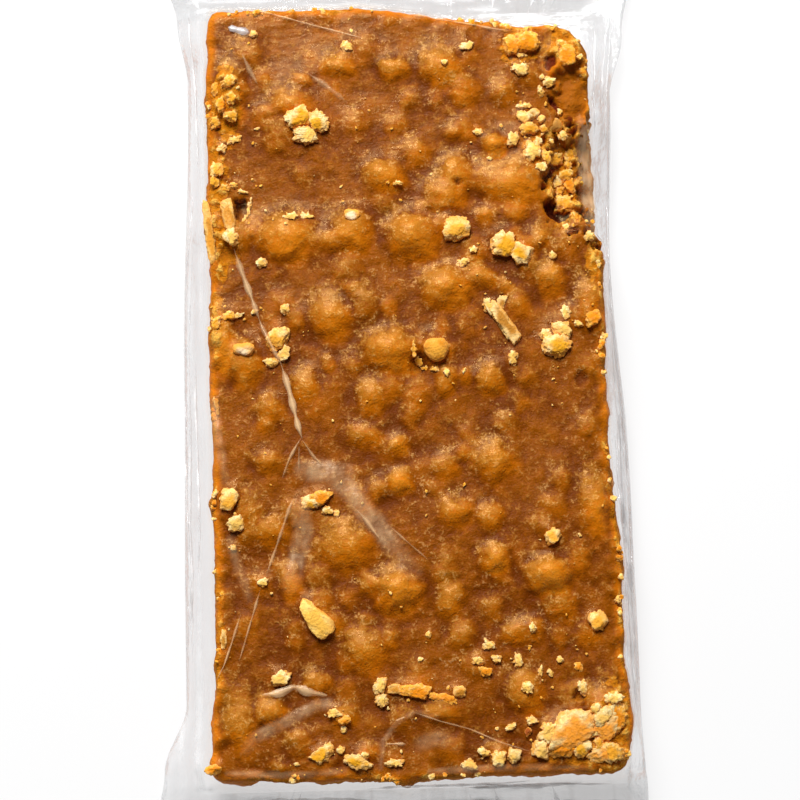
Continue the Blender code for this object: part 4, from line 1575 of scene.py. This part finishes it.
# Sharp creases. Their white is partly the film's whitened folds and partly painted highlights where the film
# glints.
LINES = tuple(Crease(*row) for row in (
    (((-31, 25.6), (-30, 22.2), (-28.7, 18.5), (-27.5, 15.1), (-26.7, 12.6)), 0.8, 0.7, 0.35),
    (((-26.9, 13.2), (-26.1, 10.9), (-24.2, 6.9), (-22.5, 3.5)), 0.55, 0.6, 0.3),
    (((-22.9, 4.4), (-21.5, -0.5), (-20, -7.1), (-19.3, -9.4)), 0.85, 1, 0.35),
    (((-19.4, -9.1), (-20.4, -10.7), (-21.6, -12.8), (-23, -16.4)), 0.4, 0.5),
    (((-19.3, -9.6), (-17.4, -12.6), (-15.7, -14.4)), 0.36, 0.5),
    (((-19.9, -10.7), (-20, -15)), 0.34, 0.3),
    (((-9.9, -22.4), (-8.2, -24.4), (-5.8, -27.9)), 0.55, 0.62),
    (((-4.5, -25.1), (-1.2, -28.2), (2.8, -31.8)), 0.32, 0.42),
    (((-20.6, -19.3), (-21.8, -21.8), (-23.7, -27.2), (-26.2, -33.7)), 0.46, 0.6),
    (((-27.1, -35.7), (-28, -38.6), (-29.9, -44.7), (-31.2, -48.8)), 0.34, 0.52),
    (((-30.7, -40.2), (-32.2, -44.8), (-33.8, -49.3), (-35.3, -52)), 0.34, 0.66),
    (((-27.2, -54.7), (-24, -54.5), (-21.7, -53.4), (-18.7, -54.5), (-15.8, -55.1)), 1.25, 1, 0.3),
    # Painted highlight: a white glint on the film at the far left corner.
    (((-31.5, 67.4), (-29.6, 66.8), (-27.6, 66.2)), 1.4, 1, 0.3, 1),
    (((-28.3, 71.3), (-23.7, 69.9), (-12.8, 66.5), (-6.4, 64.4)), 0.38, 0.62),
    (((0.2, 69.2), (9.4, 67.5), (20.7, 65.2)), 0.42, 0.55),
    (((-29, 62.2), (-27.8, 59.3), (-26.3, 56.4)), 0.62, 0.5),
    (((-17, 58.1), (-13.9, 55.9), (-10.3, 52.8)), 0.8, 0.34),
    (((-1.2, -58.2), (4, -60.1), (9.2, -61.6), (14.4, -64), (19.6, -65.7)), 0.32, 0.45),
    # Painted highlights: two short white glints near the film pocket at the near end.
    (((-3.9, -59.9), (-2.1, -59.2)), 0.6, 0.85),
    (((-5.8, -63.8), (-2.2, -63.9)), 0.5, 0.8),
))


class Sheet(NamedTuple):
    """The film's upper sheet: grids of its places across and along, and of its heights."""

    x: Array
    y: Array
    height: Array

    def height_near(self, x: float, y: float) -> float:
        """Returns the height at the point of the grid that is nearest to a place."""
        gap = (self.x - x) ** 2 + (self.y - y) ** 2
        return float(self.height.ravel()[int(np.argmin(gap))])


@dataclass
class FilmBag:
    """The clear film: over the slab, down to a fold along both sides, and flat at its sealed ends."""

    form: SlabForm
    crumbs: Crumbs
    layout: Layout
    finish: FilmFinish = FilmFinish()
    seal_y: float = 94.5
    seal_depth: float = 10.0
    end_sag: float = 0.55
    side_sag: float = 0.9
    seal_height: float = 1.9
    seal_wave: float = 0.5
    sheet_gap: float = 0.7
    fold_height: float = 3.8
    fold_wave: float = 0.6
    base_reach: float = 2.5
    base_out: float = 0.45
    base_height: float = 0.05
    far_layers_and_shade: float = 0.8
    bridging: int = 18
    flank_columns: int = 16
    side_pleats: int = 22
    end_pleats: int = 26
    cross_pleats: int = 18
    slab_columns: int = 136
    slab_rows: int = 262
    end_rows: int = 34
    rim_rings: int = 7
    left_stations: Path = (
        (-94.5, -48.0), (-80, -48.0), (-68, -45.8), (-56, -41.8), (0, -41.5), (60, -40.2),
        (72, -42.0), (82, -44.6), (94.5, -45.0)
    )
    right_stations: Path = (
        (-94.5, 42.0), (-76, 41.3), (-56, 40.6), (-20, 40.4), (24, 38.3), (58, 39.4),
        (72, 42.2), (82, 44.6), (94.5, 45.0)
    )
    film_thickness: float = 0.05
    fold_wave_length: float = 50.0
    seal_rib: float = 0.12
    seal_rib_length: float = 1.6
    pleat_height: float = 0.6
    fan_height: float = 0.45
    lengthways: tuple[Layer, ...] = (Layer(1, 2.3, 30, 1, 11), Layer(0.35, 1.1, 31, 1, 7))
    crosswise: tuple[Layer, ...] = (Layer(1, 2.1, 32, 7), Layer(0.4, 1, 33, 5))
    fan: tuple[Layer, ...] = (Layer(1, 3.4, 34, 1, 5),)
    side_veil: tuple[Layer, ...] = (Layer(1, 1.9, 40, 1, 18), Layer(0.35, 0.8, 41, 1, 9))
    end_veil: tuple[Layer, ...] = (Layer(1, 1.4, 42, 12), Layer(0.5, 0.7, 43, 7))
    slack: tuple[Layer, ...] = (Layer(0.35, 1.8, 50, 1, 5),)
    under_veil: tuple[Layer, ...] = (Layer(1, 1.3, 51, 1, 12),)
    veil_start: float = 0.04
    veil_folds: float = 0.34
    veil_edge: float = 0.14
    veil_seal: float = 0.08
    ridge_step: float = 0.5
    ridge_columns: int = 4
    ridge_gap: float = 0.08

    def __post_init__(self) -> None:
        """Works out the fold curves and where the seals start."""
        self.seal_start = self.seal_y - self.seal_depth
        self.end_slope = self.seal_start - self.form.length / 2
        self.left_fold = stations_curve(self.left_stations)
        self.right_fold = stations_curve(self.right_stations)
        self.columns = 2 * self.flank_columns + self.slab_columns
        self.rows = 2 * self.end_rows + self.slab_rows

    def spread(self) -> tuple[Array, Array]:
        """Lays the sheet's points out over the bag.

        Returns:
            Two grids, of the places across and along, one row of the sheet in each row.
        """
        form = self.form
        steps = np.linspace(0.0, 1.0, self.end_rows + 1)[:-1]
        near = mix(-self.seal_y, form.near_edge, steps**0.85)
        far = mix(self.seal_y, form.far_edge, steps**0.85)[::-1]
        middle = np.linspace(form.near_edge, form.far_edge, self.slab_rows)
        y = np.concatenate((near, middle, far))[:, None]
        left, right = form.left(y), form.right(y)
        fold_left, fold_right = self.left_fold(y), self.right_fold(y)
        flank = np.linspace(1.0, 0.0, self.flank_columns + 1)[None, :-1]
        across = np.linspace(0.0, 1.0, self.slab_columns)[None, :]
        left_flank, right_flank = mix(left, fold_left, flank), mix(right, fold_right, flank[:, ::-1])
        x = np.concatenate((left_flank, mix(left, right, across), right_flank), axis=1)
        even = mix(fold_left, fold_right, np.linspace(0.0, 1.0, self.columns)[None, :])
        x = mix(x, even, smooth_step(form.length / 2, self.seal_start, np.abs(y)))
        y = np.broadcast_to(y, x.shape)
        far_share, near_share = form.end_shares(y)
        far_share = far_share * (1 - smooth_step(form.far_edge, self.seal_start, y))
        near_share = near_share * (1 - smooth_step(form.near_edge, -self.seal_start, y))
        moved = (form.far(x) - form.far_edge) * far_share + (form.near(x) - form.near_edge) * near_share
        return x, y + moved

    def over_slab(self, x: Array, y: Array) -> Array:
        """Lays the film on the slab and its crumbs, bridging their gaps a little.

        Args:
            x: Grid of places across.
            y: Grid of places along.

        Returns:
            The film's height at each of them, taken at the slab's edge outside it.
        """
        form = self.form
        edge_x = np.clip(x, form.left(y), form.right(y))
        edge_y = np.clip(y, form.near(edge_x), form.far(edge_x))
        rest = form.plain_height(edge_x, edge_y) + self.crumbs.cover(edge_x, edge_y)
        film = rest.copy()
        for _ in range(self.bridging):
            film = np.maximum(rest, blurred(film, 1))
        return blurred(film, 1) + self.film_thickness

    def seal_top(self, x: Array, y: Array) -> Array:
        """Returns the height of the flat sealed ends, which wave across the bag."""
        return self.seal_height + self.seal_wave * np.sin(x / 7.0 + np.where(y > 0, 1.0, 2.6))

    def heights(self, x: Array, y: Array) -> tuple[Array, Array, Array]:
        """Works out the film's upper sheet.

        Args:
            x: Grid of places across.
            y: Grid of places along.

        Returns:
            The height, how far down the slope to the fold or the seal each point is, and how endwards.
        """
        form = self.form
        distance, out_x, out_y = form.past(x, y)
        high = self.over_slab(x, y)
        side_margin = np.where(x < 0, form.left(y) - self.left_fold(y), self.right_fold(y) - form.right(y))
        endwards = out_y / (out_x + out_y + 1e-3)
        share = np.clip(distance / mix(side_margin, self.end_slope, endwards), 0.0, 1.0)
        flattened = smooth_step(form.length / 2 - 4, self.seal_start, np.abs(y))
        wave = np.sin(y * 2 * math.pi / self.fold_wave_length + np.sign(x))
        fold = self.fold_height + self.fold_wave * wave
        low = mix(fold, self.seal_top(x, y), np.maximum(endwards, flattened))
        height = mix(high, low, share ** mix(self.side_sag, self.end_sag, endwards))
        return np.where(distance <= 0.0, high, height), share, endwards

    def pleats(self, x: Array, y: Array, share: Array, endwards: Array) -> Array:
        """Works out the small folds that run along the margins and fan out over the ends.

        Args:
            x: Grid of places across.
            y: Grid of places along.
            share: How far down the slope to the fold each point is.
            endwards: How much that slope runs endwards.

        Returns:
            How far each point is raised.
        """
        sides = self.pleat_height * crags(x, y, self.lengthways)
        ends = self.pleat_height * crags(x, y, self.crosswise) + self.fan_height * crags(x, y, self.fan)
        free = smooth_step(0.0, 0.35, share) * (1.0 - 0.8 * smooth_step(0.9, 1.0, share))
        return free * mix(sides, ends, smooth_step(0.0, 0.2, endwards))

    def build(self) -> list[bpy.types.Object]:
        """Builds the film and the creases pressed into it.

        Returns:
            The bag and its sharp creases.
        """
        x, y = self.spread()
        height, share, endwards = self.heights(x, y)
        height = height + self.pleats(x, y, share, endwards)
        in_seal = smooth_step(self.seal_start, self.seal_start + 1.0, np.abs(y))
        height = height + self.seal_rib * in_seal * np.sin(x * 2 * math.pi / self.seal_rib_length)
        veil = self.veil(x, y, share, endwards, in_seal)
        for band in BANDS:
            gap, run = distance_to_path(x, y, band.path)
            fade = np.sin(np.pi * np.clip(run, 0.03, 0.97)) ** 0.35
            press = (1.0 - smooth_step(0.2, 0.7, gap / band.width)) * fade
            streaks = 1.35 - 0.7 * run + 0.9 * crag(gap * 2.5, run * 9.0, 1.0, 44.0)
            veil = np.maximum(veil, band.white * press * streaks)
            height = height + band.rise * press
        # Painted shade: the near end gets the full darker tint, the far end less.
        layers = endwards * smooth_step(0.0, 0.2, share) * np.where(y < 0, 1.0, self.far_layers_and_shade)
        top = Sheet(x, y, height)
        return [self.bag(top, veil, smooth_step(0.0, 0.2, share), layers), self.crease_lines(top)]

    def veil(self, x: Array, y: Array, share: Array, endwards: Array, in_seal: Array) -> Array:
        """Works out where the film is whitened.

        Args:
            x: Grid of places across.
            y: Grid of places along.
            share: How far down the slope to the fold each point is.
            endwards: How much that slope runs endwards.
            in_seal: Whether the point is in a seal.

        Returns:
            How white the film is.
        """
        sides, ends = crags(x, y, self.side_veil), crags(x, y, self.end_veil)
        folds = smooth_step(0.08, 0.42, mix(sides, ends, smooth_step(0.1, 0.6, endwards)))
        margin = smooth_step(0.02, 0.25, share)
        fold_edge = smooth_step(0.9, 1.0, share) * (1 - endwards)
        whitened = margin * (self.veil_start + self.veil_folds * folds)
        return whitened + self.veil_edge * fold_edge + self.veil_seal * in_seal

    def bag(self, sheet: Sheet, veil: Array, free: Array, layers: Array) -> bpy.types.Object:
        """Makes the closed bag from its upper sheet.

        Args:
            sheet: The upper sheet.
            veil: How white the film is.
            free: How free of the slab the film is.
            layers: How much of it lies in several layers, with painted shade at the near end.

        Returns:
            The finished piece.
        """
        form = self.form
        piece = mesh_object("film_bag", closed_sheet(self.columns, self.rows, self.rim_rings))
        square = read_points(piece.data)
        column = np.rint((square[:, 0] + 0.5) * (self.columns - 1)).astype(int)
        row = np.rint((square[:, 1] + 0.5) * (self.rows - 1)).astype(int)
        ring = -square[:, 2]
        top = np.column_stack([grid[row, column] for grid in sheet])
        inside_y = np.clip(top[:, 1], form.near_edge - self.base_reach, form.far_edge + self.base_reach)
        base_left = form.left(inside_y) - self.base_out
        base_right = form.right(inside_y) + self.base_out
        inside_x = np.clip(top[:, 0], base_left, base_right)
        base = np.column_stack((inside_x, inside_y, np.full(len(top), self.base_height)))
        fold = top - np.array((0.0, 0.0, self.sheet_gap))
        share = np.clip((ring - 1.0) / (self.rim_rings - 1.0), 0.0, 1.0)[:, None]
        under = mix(fold, base, share)
        slack = crags(under[:, 0], under[:, 1], self.slack) * np.sin(np.pi * share[:, 0])
        under[:, 2] = np.maximum(under[:, 2] + slack, self.base_height)
        points = np.where(ring[:, None] == 0, top, under)
        write_points(piece.data, self.layout.metres(points))
        streaks = smooth_step(0.0, 0.5, crags(points[:, 0], points[:, 1], self.under_veil))
        lower_veil = 0.05 + 0.12 * streaks
        keep_values(
            piece.data,
            veil=np.where(ring == 0, veil[row, column], lower_veil),
            free=np.where(ring == 0, free[row, column], 1.0),
            layers=layers[row, column],
        )
        return dress(piece, self.finish.material())

    def crease_lines(self, sheet: Sheet) -> bpy.types.Object:
        """Lays each sharp crease on the film as a narrow folded ridge.

        Args:
            sheet: The film's upper sheet.

        Returns:
            The finished piece.
        """
        mesh = bmesh.new()
        whites: list[float] = []
        frees: list[float] = []
        for crease in [*LINES, *self.margin_lines()]:
            made = self.add_ridge(mesh, crease, sheet)
            whites += made
            frees += [crease.free] * len(made)
        piece = mesh_object("film_creases", mesh)
        write_points(piece.data, self.layout.metres(read_points(piece.data)))
        keep_values(piece.data, veil=np.array(whites), free=np.array(frees), layers=np.zeros(len(frees)))
        return dress(piece, self.finish.material("creased_film"))

    def margin_lines(self) -> list[Crease]:
        """Lays long pleats in the loose film beside the slab and past its ends.

        Returns:
            Creases that wander along both sides, and ones that fan out over the end slopes.
        """
        chance = random.Random(SEED + 3)
        form = self.form
        found = []
        for _ in range(self.side_pleats):
            left = chance.random() < 0.5
            start = chance.uniform(form.near_edge, form.far_edge - 20)
            y = np.linspace(start, start + chance.uniform(14, 60), 7)
            y = y[y < form.far_edge + 8]
            share = chance.uniform(0.2, 0.95) + np.cumsum([chance.gauss(0, 0.05) for _ in y])
            share = np.clip(share, 0.1, 0.98)
            edge, fold = (form.left, self.left_fold) if left else (form.right, self.right_fold)
            path = self.path_of(mix(edge(y), fold(y), share), y)
            found.append(Crease(path, chance.uniform(0.25, 0.55), chance.uniform(0.5, 1.0), 0.12, 1.0))
        for _ in range(self.end_pleats):
            end = chance.choice((-1, 1))
            x = chance.uniform(form.left_edge - 3, form.right_edge + 3)
            y = np.linspace(form.length / 2 + chance.uniform(0.5, 6), self.seal_start + 1, 5)
            x = x * (1.0 + 0.012 * (y - y[0])) + np.cumsum([chance.gauss(0, 0.4) for _ in y])
            path = self.path_of(x, end * y)
            found.append(Crease(path, chance.uniform(0.3, 0.7), chance.uniform(0.4, 0.9), 0.15, 1.0))
        for _ in range(self.cross_pleats):
            start = chance.uniform(form.left_edge, form.right_edge - 12)
            x = start + np.linspace(0, chance.uniform(10, 34), 6)
            x = x[x < form.right_edge + 3]
            y = form.near_edge - chance.uniform(1.2, 8.0) + np.cumsum([chance.gauss(0, 0.18) for _ in x])
            found.append(Crease(self.path_of(x, y), chance.uniform(0.3, 0.6), 0.8, 0.15, 1.0))
        return [crease for crease in found if len(crease.path) > 2]

    @staticmethod
    def path_of(x: Array, y: Array) -> Path:
        """Returns arrays of places as a crease's path."""
        return tuple(zip(x.tolist(), y.tolist()))

    def add_ridge(self, mesh: bmesh.types.BMesh, crease: Crease, sheet: Sheet) -> list[float]:
        """Adds one ridge: a strip of film pinched up along the crease, pointed at both ends.

        Args:
            mesh: The mesh that it joins.
            crease: The crease.
            sheet: The film's upper sheet.

        Returns:
            How white each of its points is.
        """
        path = np.array(crease.path)
        run = np.concatenate(([0.0], np.cumsum(np.hypot(*np.diff(path, axis=0).T))))
        count = max(int(run[-1] / self.ridge_step), 6)
        grid = bmesh.ops.create_grid(mesh, x_segments=self.ridge_columns, y_segments=count, size=0.5)
        at = np.linspace(0.0, run[-1], count + 1)
        line = np.column_stack((np.interp(at, run, path[:, 0]), np.interp(at, run, path[:, 1])))
        line[1:-1] = (line[:-2] + line[2:] + 2 * line[1:-1]) / 4
        way = np.gradient(line, axis=0)
        way /= np.hypot(*way.T)[:, None]
        ground = [sheet.height_near(x, y) for x, y in line.tolist()]
        ground = np.convolve(np.pad(ground, 2, mode="edge"), np.ones(5) / 5, mode="valid")
        whites = []
        for vert in grid["verts"]:
            step = round((vert.co.y + 0.5) * count)
            side = vert.co.x * 2.0
            taper = min(1.0, 0.15 + 5.0 * min(step, count - step) / count)
            wave = 0.75 + 0.5 * noise.noise((at[step] / 2.2, crease.width, 9.0))
            half = 0.75 * crease.width * taper * wave
            spot = line[step] + np.array((way[step][1], -way[step][0])) * side * half
            lift = self.ridge_gap + crease.rise * (1.0 - abs(side)) * taper
            vert.co = (spot[0], spot[1], ground[step] + lift)
            white = 0.75 * crease.white * (0.55 + 0.45 * wave) * (1.0 - 0.6 * abs(side))
            whites.append(white * min(1.0, taper + 0.2))
        return whites


# ---------------------------------------------------------------- the studio


@dataclass
class Studio:
    """Plain white table, soft light from beyond the slab, and the camera almost straight above it."""

    layout: Layout
    focal_px: float = 2115.0
    frame_px: float = 800.0
    distance: float = 380.0
    elevation: float = 82.0
    roll: float = 1.48
    aim: tuple[float, float, float] = (-1.6, -2.86, 15.0)
    table_size: float = 1.6
    table_drop: float = 0.00012
    wall_light: float = 0.62
    ceiling_light: float = 0.09
    wall_top: tuple[float, float] = (0.15, 0.7)
    near_wall: float = 0.42
    far_wall: float = 1.45
    key_place: tuple[float, float, float] = (-0.14, 0.56, 0.66)
    key_size: float = 0.42
    key_power: float = 12.2
    sensor_mm: float = 36.0
    nearest: float = 0.01

    def camera(self) -> None:
        """Sets the camera up."""
        data = bpy.data.cameras.new("camera")
        data.sensor_width = self.sensor_mm
        data.lens = self.focal_px / self.frame_px * data.sensor_width
        data.clip_start = self.nearest
        made = bpy.data.objects.new("camera", data)
        target = Vector(self.layout.metres(np.array([self.aim]))[0].tolist())
        rise = math.radians(self.elevation)
        back = Vector((0.0, -math.cos(rise), math.sin(rise)))
        roll = Matrix.Rotation(math.radians(-self.roll), 3, "Z")
        turn = (-back).to_track_quat("-Z", "Y").to_matrix() @ roll
        made.matrix_world = Matrix.Translation(target + back * self.distance * MM) @ turn.to_4x4()
        bpy.context.scene.collection.objects.link(made)
        bpy.context.scene.camera = made

    def table(self) -> None:
        """Lays the table under the bag."""
        mesh = bmesh.new()
        bmesh.ops.create_grid(mesh, x_segments=1, y_segments=1, size=self.table_size / 2)
        bmesh.ops.translate(mesh, verts=mesh.verts, vec=(0.0, 0.0, -self.table_drop))
        made = mesh_object("table", mesh, smooth=False)
        made.data.materials.append(TableFinish().material())

    def light(self) -> None:
        """Lights the scene: a room with pale walls and one large soft lamp beyond the slab."""
        scene = bpy.context.scene
        scene.world = bpy.data.worlds.new("pale_room")
        room = Nodes(scene.world, "Generated")
        height = room.add("ShaderNodeSeparateXYZ", {}, {0: room.place}, "Z")
        beyond = room.add("ShaderNodeSeparateXYZ", {}, {0: room.place}, "Y")
        glow = height.eased(*self.wall_top, self.wall_light, self.ceiling_light)
        glow = glow * beyond.eased(-0.7, 0.8, self.near_wall, self.far_wall)
        sky = room.add("ShaderNodeBackground", {}, {"Color": (1.0, 1.0, 1.0, 1.0), "Strength": glow})
        room.add("ShaderNodeOutputWorld", {}, {"Surface": sky})
        data = bpy.data.lights.new("key", "AREA")
        data.shape = "SQUARE"
        data.size = self.key_size
        data.energy = self.key_power
        lamp = bpy.data.objects.new("key", data)
        lamp.location = self.key_place
        lamp.rotation_euler = (-Vector(self.key_place)).to_track_quat("-Z", "Y").to_euler()
        scene.collection.objects.link(lamp)
        scene.view_settings.view_transform = "Standard"


# ---------------------------------------------------------------- all together


def main() -> None:
    """Loads the frame and builds the slab, the crumbs, the film and the studio."""
    logging.basicConfig(level=logging.INFO, format="%(name)s: %(message)s")
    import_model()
    layout = Layout()
    form = SlabForm()
    studio = Studio(layout)
    studio.camera()
    Slab(form, layout).build()
    crumbs = Crumbs(form, layout)
    crumbs.build()
    FilmBag(form, crumbs, layout).build()
    studio.table()
    studio.light()
    bpy.context.view_layer.update()


if __name__ == "__main__":
    main()
